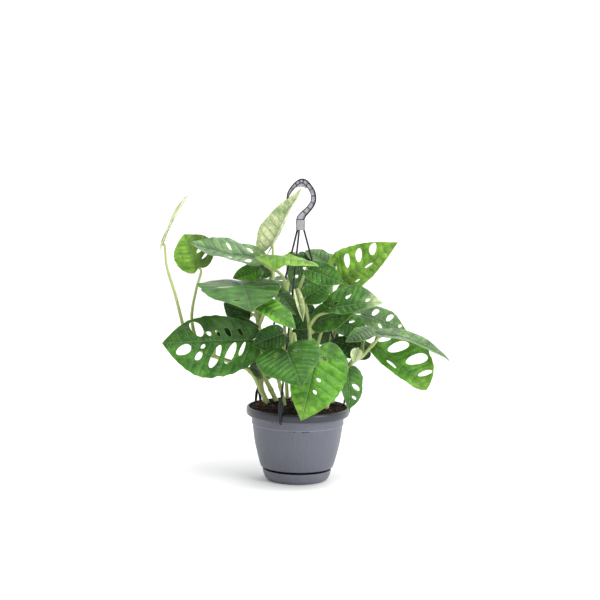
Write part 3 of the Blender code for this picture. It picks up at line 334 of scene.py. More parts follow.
class Value:
    """A shader socket that Python's own operators build Math nodes on."""

    def __init__(self, finish, socket):
        self.finish = finish
        self.socket = socket

    def math(self, operation, *others, first=None, clamp=False):
        """A Math node on this value, or on another one before it."""
        values = [self if first is None else first, *others]
        settings = dict(operation=operation, use_clamp=clamp)
        return self.finish.node("ShaderNodeMath", settings, dict(enumerate(values)))

    def __add__(self, other):
        return self.math("ADD", other)

    __radd__ = __add__

    def __sub__(self, other):
        return self.math("SUBTRACT", other)

    def __rsub__(self, other):
        return self.math("SUBTRACT", self, first=other)

    def __mul__(self, other):
        return self.math("MULTIPLY", other)

    __rmul__ = __mul__

    def __pow__(self, other):
        return self.math("POWER", other)

    def __abs__(self):
        return self.math("ABSOLUTE")

    def __neg__(self):
        return self.math("MULTIPLY", -1.0)

    def clamped(self):
        """This value held between 0 and 1."""
        return self.math("ADD", 0.0, clamp=True)

    def above(self, low, high):
        """A soft step from 0 at low to 1 at high."""
        return self.finish.node(
            "ShaderNodeMapRange", dict(interpolation_type="SMOOTHSTEP"),
            {"Value": self, "From Min": low, "From Max": high, "To Min": 0.0, "To Max": 1.0})

    def below(self, high, low):
        """A soft step from 1 at high or less to 0 at low or more."""
        return 1.0 - self.above(high, low)


class Finish:
    """A material under construction, with its Principled shader."""

    def __init__(self, name, **constants):
        self.material = bpy.data.materials.new(name)
        self.material.use_nodes = True
        self.tree = self.material.node_tree
        self.shader = self.tree.nodes["Principled BSDF"]
        for key, value in constants.items():
            self.shader.inputs[key.replace("_", " ").title().replace("Ior", "IOR")].default_value = value

    def node(self, kind, settings=None, sockets=None, out=0):
        """A node of any kind: its settings first, then the values or links of its sockets."""
        made = self.tree.nodes.new(kind)
        for key, value in (settings or {}).items():
            if key == "stops":
                ramp = made.color_ramp
                while len(ramp.elements) < len(value):
                    ramp.elements.new(0.5)
                for element, (place, colour) in zip(ramp.elements, value):
                    element.position = place
                    element.color = (*colour, 1.0)
            else:
                setattr(made, key, value)
        for key, value in (sockets or {}).items():
            self.put(made.inputs[key], value)
        return Value(self, made.outputs[out])

    def put(self, socket, value):
        """Link a value to a socket or set it there."""
        if isinstance(value, Value):
            self.tree.links.new(value.socket, socket)
        elif isinstance(value, tuple) and len(value) == 3 and socket.type == "RGBA":
            socket.default_value = (*value, 1.0)
        else:
            socket.default_value = value

    def blend(self, first, second, share):
        """One colour turned to another by a share."""
        return self.node("ShaderNodeMix", dict(data_type="RGBA"), {0: share, 6: first, 7: second}, out=2)

    def tinted(self, first, second, share=1.0):
        """A colour multiplied by another."""
        return self.node("ShaderNodeMix", dict(data_type="RGBA", blend_type="MULTIPLY"),
                         {0: share, 6: first, 7: second}, out=2)

    def place(self):
        """Object coordinates, and their three parts."""
        spot = self.node("ShaderNodeTexCoord", out=3)
        return spot, self.parts(spot)

    def parts(self, vector):
        """The three parts of a vector."""
        split = self.node("ShaderNodeSeparateXYZ", sockets={0: vector}).socket.node
        return [Value(self, part) for part in split.outputs]

    def attribute(self, name, out=1):
        """An attribute of the piece: its vector, or its colour with out=0, or its number with out=2."""
        return self.node("ShaderNodeAttribute", dict(attribute_name=name), out=out)

    def stretched(self, spot, scale):
        """Coordinates scaled on each axis."""
        return self.node("ShaderNodeMapping", sockets={"Vector": spot, "Scale": scale})

    def cloud(self, spot, scale, detail=3.0, roughness=0.55):
        """A noise pattern's value."""
        return self.node("ShaderNodeTexNoise",
                         sockets={"Vector": spot, "Scale": scale, "Detail": detail, "Roughness": roughness})

    def bump(self, height, distance, strength=1.0, normal=None):
        """A Bump node on a height."""
        sockets = {"Height": height, "Distance": distance, "Strength": strength}
        if normal is not None:
            sockets["Normal"] = normal
        return self.node("ShaderNodeBump", sockets=sockets)

    def wear(self, **values):
        """Feed the shader's own sockets and hand the material over."""
        for key, value in values.items():
            self.put(self.shader.inputs[key.replace("_", " ").title()], value)
        return self.material


class Sky(Finish):
    """The world's nodes, built like a material's."""

    def __init__(self, world):
        world.use_nodes = True
        self.tree = world.node_tree


def scaled(colour, gain, lift=0.0):
    """A colour times a gain, or a gain for each part of it, plus a lift."""
    gains = gain if isinstance(gain, tuple) else (gain,) * 3
    return tuple(min(1.0, c * g + lift) for c, g in zip(colour, gains))


def pot_plastic(colour):
    """Satin moulded plastic with faint upright fluting and light handling marks; painted shade in a few slots under
    the ledge, in two pin holes, on the darkened rim band and in the gap over the saucer, and painted highlights along
    the ledge and the lip.
    """
    made = Finish("moulded_pot", roughness=0.4, specular_ior_level=0.5)
    spot, (x, y, z) = made.place()
    turn = y.math("ARCTAN2", x)
    body = z.below(0.0805, 0.0815)
    flute = (turn * FLUTES).math("SINE") * 0.5 + 0.5
    flute = flute * (0.55 + 0.45 * made.cloud(made.stretched(spot, (60.0, 60.0, 2.0)), 1.0))
    drawn = made.cloud(made.stretched(spot, (220.0, 220.0, 9.0)), 1.0, 4.0)
    marks = made.cloud(spot, 45.0, 5.0, 0.7).above(0.60, 0.78)
    front = turn + 1.571
    # Near-black dashes under the ledge and two pin holes under the rim band are painted in place of cut slots: painted
    # shade. The bump dents them a little.
    dashes = made.cloud(made.stretched(spot, (110.0, 110.0, 0.0)), 1.0, 1.0).above(0.46, 0.50)
    slit = dashes * abs(z - LEDGE_SLOT * MM).below(0.0004, 0.0007) * abs(front).below(0.24, 0.27)
    pins = abs(z - PIN_HEIGHT * MM).below(0.0004, 0.0008) * (
        abs(front + 0.46).below(0.016, 0.024) + abs(front + 0.56).below(0.016, 0.024))
    dark = (slit + pins).clamped()
    shade = made.blend(scaled(colour, 0.90), scaled(colour, 1.12), drawn)
    shade = made.blend(shade, scaled(colour, 1.5, 0.02), marks * 0.25)
    # Lighter lines along the ledge's rounded edge and the saucer's lip: painted highlight.
    edge = abs(z - LEDGE_EDGE * MM).below(0.0005, 0.0011) + abs(z - LIP_EDGE * MM).below(0.0003, 0.0007)
    shade = made.blend(shade, scaled(colour, 2.0, 0.03), (edge * 0.5).clamped())
    # The rim band is darkened to about a fifth of the body: painted shade and painted dark reflection from the foliage
    # over it.
    band = z.above(BAND_BOTTOM * MM, (BAND_BOTTOM + 1.2) * MM)
    shade = made.tinted(shade, made.blend((1.0, 1.0, 1.0), (0.17, 0.20, 0.21), band))
    shade = made.tinted(shade, made.blend((1.0, 1.0, 1.0), (1.20, 1.18, 1.14), z.below(0.0150, 0.0162)))
    # The gap over the saucer, inside its lip and in the pot's undercut above it, is painted near-black: painted shade.
    away = (x * x + y * y) ** 0.5
    under = z.below(0.0194, 0.0198)
    gap_shade = away.below(0.0494, 0.0498) * z.above(0.0145, 0.0158) + z.above(0.0158, 0.0162) * under
    shade = made.blend(shade, (0.006, 0.006, 0.008), (dark + gap_shade * under).clamped())
    height = flute * body * 0.6 + drawn * 0.3 - dark * 2.0
    grain = made.cloud(spot, 1400.0, 2.0)
    normal = made.bump(grain, 0.00004, 0.35, made.bump(height, 0.00045, 1.0))
    return made.wear(base_color=shade, roughness=0.38 + 0.12 * drawn + 0.12 * marks - 0.14 * band, normal=normal)


def hanger_plastic(colour, web_colour):
    """Moulded plastic, dark on the strands and borders and pale and speckled on the hook's web."""
    made = Finish("moulded_hanger", roughness=0.42, specular_ior_level=0.25)
    spot, (x, y, z) = made.place()
    speck = made.cloud(spot, 900.0, 3.0, 0.7)
    web = abs(y).below(0.0016, 0.0019) * z.above(COLLAR_TOP * MM, (COLLAR_TOP + 2.0) * MM)
    collar = z.above((COLLAR_BOTTOM - 0.3) * MM, (COLLAR_BOTTOM + 0.5) * MM) * abs(y).above(0.0028, 0.0031)
    collar = collar * z.below((COLLAR_TOP + 1.0) * MM, (COLLAR_TOP + 2.0) * MM)
    sides = abs(x - COLLAR_X * MM).above(0.0048, 0.0053)
    pale = (web + collar * (0.9 - 0.75 * sides)).clamped()
    shade = made.blend(colour, web_colour, pale)
    shade = made.blend(shade, scaled(web_colour, 1.7), speck.above(0.56, 0.66) * pale * 0.8)
    shade = made.tinted(shade, made.blend((0.62, 0.62, 0.62), (1.0, 1.0, 1.0), speck.above(0.30, 0.50)))
    normal = made.bump(speck, 0.00015, 0.6)
    return made.wear(base_color=shade, roughness=0.34 + 0.22 * speck, normal=normal)


def potting_soil():
    """Damp dark potting soil with paler fibres."""
    made = Finish("potting_soil", roughness=0.95, specular_ior_level=0.25)
    spot, _ = made.place()
    crumb = made.cloud(spot, 260.0, 5.0, 0.7)
    patch = made.cloud(spot, 55.0, 3.0)
    fibre = made.cloud(made.stretched(spot, (900.0, 160.0, 300.0)), 1.0, 2.0).above(0.66, 0.72)
    shade = made.node("ShaderNodeValToRGB", dict(stops=(
        (0.30, (0.003, 0.002, 0.002)), (0.52, (0.010, 0.005, 0.004)), (0.70, (0.032, 0.014, 0.009)))), {0: crumb})
    shade = made.blend(shade, (0.055, 0.018, 0.010), patch.above(0.56, 0.72) * 0.4)
    shade = made.blend(shade, (0.12, 0.065, 0.040), fibre * 0.45)
    return made.wear(base_color=shade, roughness=0.80 + 0.18 * crumb, normal=made.bump(crumb, 0.0012, 0.9))


def bark():
    """Reddish bark chips, each of its own tone."""
    made = Finish("bark_chips", roughness=0.85, specular_ior_level=0.3)
    spot, _ = made.place()
    grain = made.cloud(made.stretched(spot, (700.0, 700.0, 250.0)), 1.0, 4.0)
    tone = made.attribute("tone", out=0)
    shade = made.tinted(tone, made.blend((0.35, 0.33, 0.32), (1.25, 1.2, 1.15), grain.above(0.32, 0.66)))
    return made.wear(base_color=shade, roughness=0.70 + 0.25 * grain, normal=made.bump(grain, 0.0006, 0.8))


def stem_skin(colour):
    """Green stem skin: paler and yellower low down and at the joints, with fine streaks along it."""
    made = Finish("stem_skin", roughness=0.42, specular_ior_level=0.5)
    spot, _ = made.place()
    streak = made.cloud(made.stretched(spot, (420.0, 420.0, 22.0)), 1.0, 3.0)
    patch = made.cloud(spot, 28.0, 2.0)
    grown = made.attribute("grown", out=2)
    shade = made.blend(colour, scaled(colour, (1.55, 1.28, 1.35)), (0.65 * streak + 0.55 * patch - 0.1).clamped())
    shade = made.blend(shade, scaled(colour, (0.42, 0.55, 0.30)), grown * 0.55)
    ring = made.attribute("ring", out=2)
    shade = made.blend(shade, (0.30, 0.24, 0.09), ring * 0.55)
    height = streak * 0.8 + ring * 0.5
    return made.wear(base_color=shade, roughness=0.34 + 0.2 * streak, normal=made.bump(height, 0.0004, 0.7))


def dry_sheath():
    """Papery brown sheath left at a joint."""
    made = Finish("dry_sheath", roughness=0.8)
    spot, _ = made.place()
    streak = made.cloud(made.stretched(spot, (800.0, 800.0, 60.0)), 1.0, 3.0)
    shade = made.blend((0.10, 0.035, 0.015), (0.42, 0.25, 0.11), streak.above(0.35, 0.68))
    return made.wear(base_color=shade, roughness=0.65 + 0.3 * streak, normal=made.bump(streak, 0.0005, 0.8))


def blade_marks(made):
    """What both sides of a blade share: its veins, midrib, margin and broad patches."""
    spot, _ = made.place()
    across, _, phase = made.parts(made.attribute("blade"))
    off_rib = abs(across) * 100.0
    between = abs((phase + 0.5).math("FRACT") - 0.5)
    minor = abs((phase * 3.0 + 0.5).math("FRACT") - 0.5)
    margin = made.attribute("margin", out=2) * 10.0
    inland = margin.above(0.6, 7.0)
    vein = between.below(0.015, 0.085) * inland
    hair = minor.below(0.02, 0.20) * inland
    rib = off_rib.below(0.55, 1.25)
    flesh = made.cloud(spot, 55.0, 4.0, 0.6)
    net = made.node("ShaderNodeTexVoronoi", dict(feature="DISTANCE_TO_EDGE"), {"Vector": spot, "Scale": 420.0})
    return dict(spot=spot, off_rib=off_rib, between=between, margin=margin, vein=vein, hair=hair, rib=rib,
                flesh=flesh, net=net.above(0.02, 0.16), inland=inland)


def leaf_upper():
    """The upper side of a blade: satin green, lighter veins with painted shade in their grooves and beside the midrib,
    a quilted surface, a thin pale margin, small marks.
    """
    made = Finish("leaf_upper", roughness=0.36, specular_ior_level=0.3)
    m = blade_marks(made)
    tint = made.attribute("tint", out=0)
    light = made.blend((0.48, 0.58, 0.42), (1.60, 1.42, 1.45), m["flesh"].above(0.32, 0.68))
    shade = made.tinted(tint, light)
    fleck = made.cloud(m["spot"], 150.0, 3.0)
    shade = made.tinted(shade, made.blend((0.82, 0.85, 0.80), (1.18, 1.13, 1.15), fleck.above(0.34, 0.66)))
    # Darker along the sunken side veins and beside the sunken midrib: painted shade of the grooves.
    shade = made.blend(shade, made.tinted(tint, (0.45, 0.52, 0.45)), m["between"].below(0.0, 0.18) * m["inland"] * 0.5)
    shade = made.blend(shade, made.tinted(tint, (0.42, 0.50, 0.42)), m["off_rib"].below(1.0, 7.5) * 0.5)
    paler = made.blend(tint, (0.45, 0.60, 0.30), 0.25)
    shade = made.blend(shade, paler, m["vein"] * 0.25)
    shade = made.blend(shade, made.blend(tint, (0.45, 0.60, 0.28), 0.40), m["rib"] * 0.40)
    shade = made.blend(shade, made.tinted(tint, (0.62, 0.70, 0.60)), (1.0 - m["net"]) * 0.40)
    shade = made.blend(shade, made.blend(tint, (0.52, 0.62, 0.25), 0.35), m["margin"].below(0.25, 0.75) * 0.6)
    speck = made.cloud(m["spot"], 520.0, 1.0).above(0.735, 0.765)
    shade = made.blend(shade, (0.70, 0.74, 0.62), speck * 0.55)
    fine = made.cloud(m["spot"], 380.0, 3.0)
    quilted = m["between"].above(0.0, 0.32) * m["inland"]
    height = m["net"] * 0.08 + fine * 0.05 + quilted * (0.25 + 0.9 * m["flesh"]) - m["hair"] * 0.2 - m["rib"] * 0.8
    dull = 0.30 + 0.12 * m["flesh"] + 0.10 * fine + 0.20 * m["vein"]
    return made.wear(base_color=shade, roughness=dull, normal=made.bump(height, 0.00110, 0.9))


def leaf_under():
    """The underside of a blade: paler, duller, with its veins standing out."""
    made = Finish("leaf_underside", roughness=0.55, specular_ior_level=0.25)
    m = blade_marks(made)
    tint = made.attribute("tint", out=0)
    body = made.blend(tint, (0.36, 0.50, 0.24), 0.35)
    light = made.blend((0.82, 0.85, 0.78), (1.15, 1.12, 1.12), m["flesh"].above(0.30, 0.70))
    shade = made.tinted(body, light)
    pale = made.blend(tint, LIGHT_VEIN, 0.65)
    shade = made.blend(shade, pale, m["vein"] * 0.65)
    shade = made.blend(shade, pale, m["hair"] * 0.22)
    shade = made.blend(shade, (0.52, 0.62, 0.30), m["rib"] * 0.8)
    height = m["vein"] * 0.8 + m["hair"] * 0.3 + m["rib"] + m["net"] * 0.2
    return made.wear(base_color=shade, roughness=0.48 + 0.14 * m["flesh"], normal=made.bump(height, 0.0004, 0.8))


def floor_paper(colour):
    """Plain white studio paper."""
    made = Finish("studio_floor", roughness=0.9, specular_ior_level=0.1)
    spot, _ = made.place()
    mottle = made.cloud(spot, 3.0, 2.0)
    shade = made.blend(scaled(colour, 0.995), colour, mottle)
    return made.wear(base_color=shade)


def finish_of(name, maker, *values):
    """A finish by its name, made the first time that it is asked for."""
    return bpy.data.materials.get(name) or maker(*values)


def alone(thing):
    """Select one object by itself and make it active."""
    bpy.ops.object.select_all(action="DESELECT")
    thing.select_set(True)
    bpy.context.view_layer.objects.active = thing


def fresh(primitive, **settings):
    """Add a primitive that is selected by itself."""
    bpy.ops.object.select_all(action="DESELECT")
    primitive(**settings)
    return bpy.context.active_object


def join(things):
    """Several objects made one."""
    alone(things[0])
    for thing in things[1:]:
        thing.select_set(True)
    bpy.ops.object.join()
    return bpy.context.view_layer.objects.active


def settle(thing, name, finishes, stands_for=(), angle=40.0):
    """Name a piece, give it its finishes, smooth it and say what it rides on and stands for."""
    thing.name = thing.data.name = name
    thing.data.materials.clear()
    for finish in finishes:
        thing.data.materials.append(finish)
    alone(thing)
    bpy.ops.object.shade_smooth_by_angle(angle=math.radians(angle))
    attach(thing, "root")
    if stands_for:
        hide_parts(*stands_for)
    return thing


def apply_all(thing):
    """Apply an object's modifiers in their order."""
    alone(thing)
    for step in list(thing.modifiers):
        bpy.ops.object.modifier_apply(modifier=step.name)
    return thing


def drilled(thing, primitive, **settings):
    """Cut a primitive's shape out of a piece."""
    drill = fresh(primitive, **settings)
    cut = thing.modifiers.new("cut", "BOOLEAN")
    cut.operation, cut.solver, cut.object = "DIFFERENCE", "EXACT", drill
    apply_all(thing)
    bpy.data.objects.remove(drill, do_unlink=True)


def bevelled(thing, offset, segments):
    """Round or cut every edge of a piece."""
    alone(thing)
    bpy.ops.object.mode_set(mode="EDIT")
    bpy.ops.mesh.select_all(action="SELECT")
    bpy.ops.mesh.bevel(offset=offset, segments=segments, affect="EDGES")
    bpy.ops.object.mode_set(mode="OBJECT")
    return thing


def clean(thing, merge):
    """Merge a piece's doubled points, drop what hangs loose and turn its faces outward."""
    bpy.ops.object.mode_set(mode="EDIT")
    bpy.ops.mesh.select_all(action="SELECT")
    bpy.ops.mesh.remove_doubles(threshold=merge)
    bpy.ops.mesh.delete_loose(use_verts=True, use_edges=True, use_faces=False)
    bpy.ops.mesh.select_all(action="SELECT")
    bpy.ops.mesh.normals_make_consistent(inside=False)
    bpy.ops.object.mode_set(mode="OBJECT")
    return thing


def from_line(curve, points, radii=None, closed=False):
    """Run a selected curve along points, in metres, and make it a clean mesh."""
    curve.splines.clear()
    line = curve.splines.new("POLY")
    line.points.add(len(points) - 1)
    line.use_cyclic_u = closed
    for knot, point, radius in zip(line.points, points, radii or [1.0] * len(points)):
        knot.co = (*point, 1.0)
        knot.radius = radius
    bpy.ops.object.convert(target="MESH")
    bpy.ops.object.transform_apply(location=True, rotation=True, scale=True)
    return clean(bpy.context.active_object, 0.00001)


def smooth_line(points, per_span):
    """Points along a smooth curve through the given ones."""
    ends = [2 * points[0] - points[1]] + list(points) + [2 * points[-1] - points[-2]]
    line = []
    for i in range(1, len(ends) - 2):
        a, b, c, d = ends[i - 1], ends[i], ends[i + 1], ends[i + 2]
        for step in range(per_span):
            t = step / per_span
            line.append(0.5 * (2 * b + (c - a) * t + (2 * a - 5 * b + 4 * c - d) * t ** 2
                               + (3 * b - a - 3 * c + d) * t ** 3))
    line.append(points[-1])
    return line


def smooth_step(low, high, value):
    """0 at low, 1 at high, with an easy turn at both."""
    t = min(1.0, max(0.0, (value - low) / (high - low)))
    return t * t * (3 - 2 * t)


def turned(profile, steps):
    """A body spun about Z from a closed profile of radii and heights."""
    thing = fresh(bpy.ops.mesh.primitive_circle_add, vertices=len(profile), radius=MM)
    for vert, (radius, height) in zip(thing.data.vertices, profile):
        vert.co = (radius * MM, 0.0, height * MM)
    bpy.ops.object.mode_set(mode="EDIT")
    bpy.ops.mesh.select_all(action="SELECT")
    bpy.ops.mesh.spin(steps=steps, angle=math.tau, center=(0, 0, 0), axis=(0, 0, 1))
    bpy.ops.object.mode_set(mode="OBJECT")
    return clean(thing, 0.00002)


def tube(points, radii, sides=3):
    """A closed round rod along points, with a radius at each."""
    curve = fresh(bpy.ops.curve.primitive_nurbs_path_add).data
    curve.bevel_depth = MM
    curve.bevel_resolution = sides
    curve.use_fill_caps = True
    return from_line(curve, [Vector(point) * MM for point in points], radii)


def plate(outline, thick, rounding=0.25):
    """A flat plate upright in the XZ plane, centred on y = 0, with its edges a little rounded."""
    curve = fresh(bpy.ops.curve.primitive_bezier_circle_add, rotation=(math.pi / 2, 0, 0)).data
    curve.dimensions = "2D"
    curve.fill_mode = "BOTH"
    curve.extrude = (thick / 2 - rounding) * MM
    curve.bevel_depth = rounding * MM
    curve.offset = -rounding * MM
    return from_line(curve, [(x * MM, z * MM, 0.0) for x, z in outline], closed=True)


def pot_profile(rim_radius):
    """The pot's closed section: rolled rim band, neck with its ledge, belly, undercut above the saucer, floor and
    inner wall.
    """
    r = rim_radius
    lip = [(r - 2.6, 107.0), (r - 1.7, 106.9), (r - 0.9, 106.4), (r - 0.3, 105.5), (r, 104.4)]
    band = [(r, 98.4), (r - 0.2, 97.0), (r - 0.8, 95.8), (r - 1.7, 95.1), (r - 2.6, BAND_BOTTOM), (68.0, BAND_BOTTOM)]
    neck = [(67.4, 94.7), (67.1, 93.8), (66.9, 84.0), (67.0, 83.0), (66.9, 82.2), (66.4, 81.6)]
    belly = [tuple(p) for p in smooth_line([Vector(p) for p in WAIST], 4)]
    under = [(51.9, 19.3), (50.3, 18.8), (47.7, 18.7), (43.5, 13.0), (40.0, 9.0), (38.0, FOOT_Z), (0.0, FOOT_Z)]
    floor = [(0.0, FOOT_Z + 3.0), (37.6, FOOT_Z + 3.0), (39.2, 12.0), (47.9, 21.7)]
    wall = [(a - POT_WALL, z + 0.6) for a, z in reversed(belly[1:-1])]
    brim = [(65.2, 83.0), (65.7, 94.0), (r - 4.6, 99.0), (r - 4.2, 100.5), (r - 4.2, 105.4), (r - 3.6, 106.6)]
    return lip + band + neck + belly + under + floor + wall + brim


def make_pot(settings):
    """The pot in one spun piece with its drain holes cut."""
    pot = turned(pot_profile(settings.rim_radius / MM), 144)
    for i in range(4):
        turn = math.radians(45 + 90 * i)
        place = (DRAIN_RING * math.cos(turn) * MM, DRAIN_RING * math.sin(turn) * MM, (FOOT_Z + 1.5) * MM)
        drilled(pot, bpy.ops.mesh.primitive_cylinder_add, vertices=24, radius=DRAIN_RADIUS * MM, depth=9 * MM,
                location=place)
    finish = finish_of("moulded_pot", pot_plastic, tuple(settings.plastic_colour))
    return settle(pot, "pot_body", [finish], ["pot"], 35.0)


def make_saucer(settings):
    """The clip-on saucer, with a rounded foot and a lip."""
    saucer = turned(SAUCER, 144)
    finish = finish_of("moulded_pot", pot_plastic, tuple(settings.plastic_colour))
    return settle(saucer, "saucer_dish", [finish], ["saucer"], 35.0)


def soil_height(radius):
    """How high the soil stands at a distance from the middle."""
    return SOIL_CROWN - (SOIL_CROWN - SOIL_EDGE) * (radius / SOIL_RADIUS) ** 4


def soil_lump(x, y):
    """The crumbly lift of the soil's top at a place."""
    spot = Vector((x, y, 0.0))
    return (2.0 * noise.noise(spot * 0.07) + 1.8 * noise.noise(spot * 0.19 + Vector((9, 0, 0)))
            + 1.2 * abs(noise.noise(spot * 0.45)))


def make_soil(settings):
    """A crumbly crust on the soil, and a scatter of bark chips pressed in it."""
    crown = [(r, soil_height(r) + 0.5) for r in [68.6 * i / 44 for i in range(45)]]
    crust = turned(crown + [(CRUST_RADIUS, 102.6), (CRUST_RADIUS, CRUST_BOTTOM), (0.0, CRUST_BOTTOM)], 180)
    for vert in crust.data.vertices:
        x, y, z = (v / MM for v in vert.co)
        radius = math.hypot(x, y)
        if z > 101.0:
            vert.co.z = (z + soil_lump(x, y) * (0.35 + 0.65 * smooth_step(CRUST_RADIUS, 62.0, radius))) * MM
    finish = finish_of("potting_soil", potting_soil)
    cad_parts["soil"].material_slots[0].material = finish
    settle(crust, "soil_crust", [finish], (), 60.0)
    chips = scatter_chips(settings.chips)
    settle(chips, "bark_chips", [finish_of("bark_chips", bark)], (), 30.0)


def scatter_chips(count):
    """Bark chips copied from one bevelled chip, each turned, sized and toned by itself."""
    dice = random.Random(7)
    chip = bevelled(fresh(bpy.ops.mesh.primitive_cube_add, size=1.0), 0.16, 1)
    pile = bmesh.new()
    tones = pile.verts.layers.float_color.new("tone")
    for _ in range(count):
        radius, turn = CHIP_FIELD * math.sqrt(dice.random()), math.tau * dice.random()
        x, y = radius * math.cos(turn), radius * math.sin(turn)
        size = 1.6 + 4.6 * dice.random() ** 2
        size *= 1.0 if radius < 63 else 0.6
        place = Vector((x, y, soil_height(radius) + 0.5 + soil_lump(x, y) * smooth_step(CRUST_RADIUS, 64.0, radius)))
        tilt = Euler((dice.uniform(-0.6, 0.6), dice.uniform(-0.6, 0.6), dice.uniform(0, math.tau)))
        scale = Matrix.Diagonal((size * dice.uniform(0.8, 1.5), size * dice.uniform(0.4, 0.9),
                                 size * dice.uniform(0.25, 0.6), 1.0))
        tone = dice.choice(BARK_TONES)
        before = len(pile.verts)
        pile.from_mesh(chip.data)
        pile.verts.ensure_lookup_table()
        move = Matrix.Translation(place) @ tilt.to_matrix().to_4x4() @ scale
        for vert in pile.verts[before:]:
            bent = vert.co + Vector((dice.uniform(-0.1, 0.1), dice.uniform(-0.1, 0.1), dice.uniform(-0.1, 0.1)))
            vert.co = (move @ bent) * MM
            vert[tones] = (*tone, 1.0)
    pile.to_mesh(chip.data)
    pile.free()
    return chip


def ribbon(line, widths):
    """The two edges of a band along a line in X and Z with a half width at each point."""
    left, right = [], []
    for i, here in enumerate(line):
        along = (line[min(i + 1, len(line) - 1)] - line[max(i - 1, 0)]).normalized()
        left.append((here.x - along.y * widths[i], here.y + along.x * widths[i]))
        right.append((here.x + along.y * widths[i], here.y - along.x * widths[i]))
    return left, right


def hook_pieces():
    """The hook: a thin web between raised borders, cross ribs and a bridge under the bend."""
    knots = smooth_line([Vector(p) for p in HOOK_LINE], 4)
    line, half = [k.xy for k in knots], [k.z for k in knots]
    left, right = ribbon(line, half)
    inner_left = ribbon(line, [max(w - 1.15, 0.4) for w in half])[0]
    inner_right = ribbon(line, [max(w - 1.9, 0.3) for w in half])[1]
    web_left, web_right = ribbon(line, [w - 0.4 for w in half])
    pieces = [plate(web_left + web_right[::-1], 2.4, 0.1), plate(left + inner_left[::-1], 5.6, 0.3),
              plate(right + inner_right[::-1], 5.58, 0.3)]
    for place in HOOK_RIBS:
        i = round(place * 4)
        along = (line[i + 1] - line[i - 1]).normalized() * 0.42
        across = Vector((-along.y, along.x)).normalized() * (half[i] - 0.5)
        corners = [line[i] - along - across, line[i] + along - across, line[i] + along + across,
                   line[i] - along + across]
        pieces.append(plate([tuple(c) for c in corners], 4.9, 0.12))
    end = line[-1]
    pieces.append(plate([(end.x + 1.6 * math.cos(math.tau * k / 16), end.y + 1.6 * math.sin(math.tau * k / 16))
                         for k in range(16)], 5.56, 0.3))
    pieces.append(plate(HOOK_GUSSET, 2.2, 0.1))
    lower = smooth_line([Vector((x, 0.0, z)) for x, z in HOOK_GUSSET[:5]], 4)
    pieces.append(tube(lower, [0.55] * len(lower), 2))
    return pieces


def collar():
    """The block that the strands run into: pale faces, a dimple, rounded corners."""
    middle, height = (COLLAR_BOTTOM + COLLAR_TOP) / 2, COLLAR_TOP - COLLAR_BOTTOM
    block = fresh(bpy.ops.mesh.primitive_cube_add, size=1.0, location=(COLLAR_X * MM, 0.0, middle * MM),
                  scale=(2 * COLLAR_HALF_WIDTH * MM, 7.0 * MM, height * MM))
    bpy.ops.object.transform_apply(location=True, rotation=True, scale=True)
    bevelled(block, 0.7 * MM, 3)
    drilled(block, bpy.ops.mesh.primitive_uv_sphere_add, segments=20, ring_count=12, radius=1.5 * MM,
            location=(COLLAR_X * MM, -4.4 * MM, (COLLAR_TOP - 2.8) * MM))
    return block


def flatten(thing, azimuth, widen):
    """Widen a clip's leg across the rim, by a factor at each height."""
    turn = math.radians(azimuth)
    side = Vector((math.cos(turn), math.sin(turn), 0.0))
    for vert in thing.data.vertices:
        off = vert.co.dot(side)
        vert.co += side * off * (widen(vert.co.z / MM) - 1.0)
    return thing


def strand_and_clip(azimuth):
    """One strand from the collar down to a fork whose two flat legs straddle the rim."""
    turn = math.radians(azimuth)
    out = Vector((math.sin(turn), -math.cos(turn), 0.0))

    def at(radius, height):
        return out * radius + Vector((0, 0, height))

    top = Vector((COLLAR_X, 0, COLLAR_BOTTOM + 4.0)) + Vector((out.x * 4.2, out.y * 1.6, 0))
    fork = at(73.0, CLIP_TOP)
    pieces = [tube([top.lerp(fork, i / 24) for i in range(25)], [1.4 + 0.35 * (i > 22) for i in range(25)], 4)]
    outer = [at(72.8, CLIP_TOP + 3.5), at(74.4, CLIP_TOP - 3), at(76.2, CLIP_TOP - 10), at(77.3, RIM_TOP - 1),
             at(77.3, 98.5), at(76.6, 95.0), at(74.6, 93.4), at(72.6, 93.3)]
    inner = [at(73.0, CLIP_TOP + 3.0), at(71.4, CLIP_TOP - 6), at(69.6, CLIP_TOP - 13), at(68.6, RIM_TOP - 2)]
    for path, radius in ((outer, 1.25), (inner, 1.2)):
        line = smooth_line(path, 5)
        leg = tube(line, [radius] * len(line), 3)
        pieces.append(flatten(leg, azimuth, lambda z: 1.3 + 1.3 * smooth_step(94.0, 116.0, z)
                              - 1.4 * smooth_step(119.0, 131.0, z)))
    return pieces


def make_hanger(settings):
    """The moulded hanger in one piece."""
    pieces = hook_pieces() + [collar()]
    for azimuth in CLIP_AZIMUTHS:
        pieces += strand_and_clip(azimuth)
    hanger = join(pieces)
    finish = finish_of("moulded_hanger", hanger_plastic, tuple(settings.plastic_colour), tuple(settings.web_colour))
    return settle(hanger, "hanger_moulding", [finish], ["hanger"], 35.0)


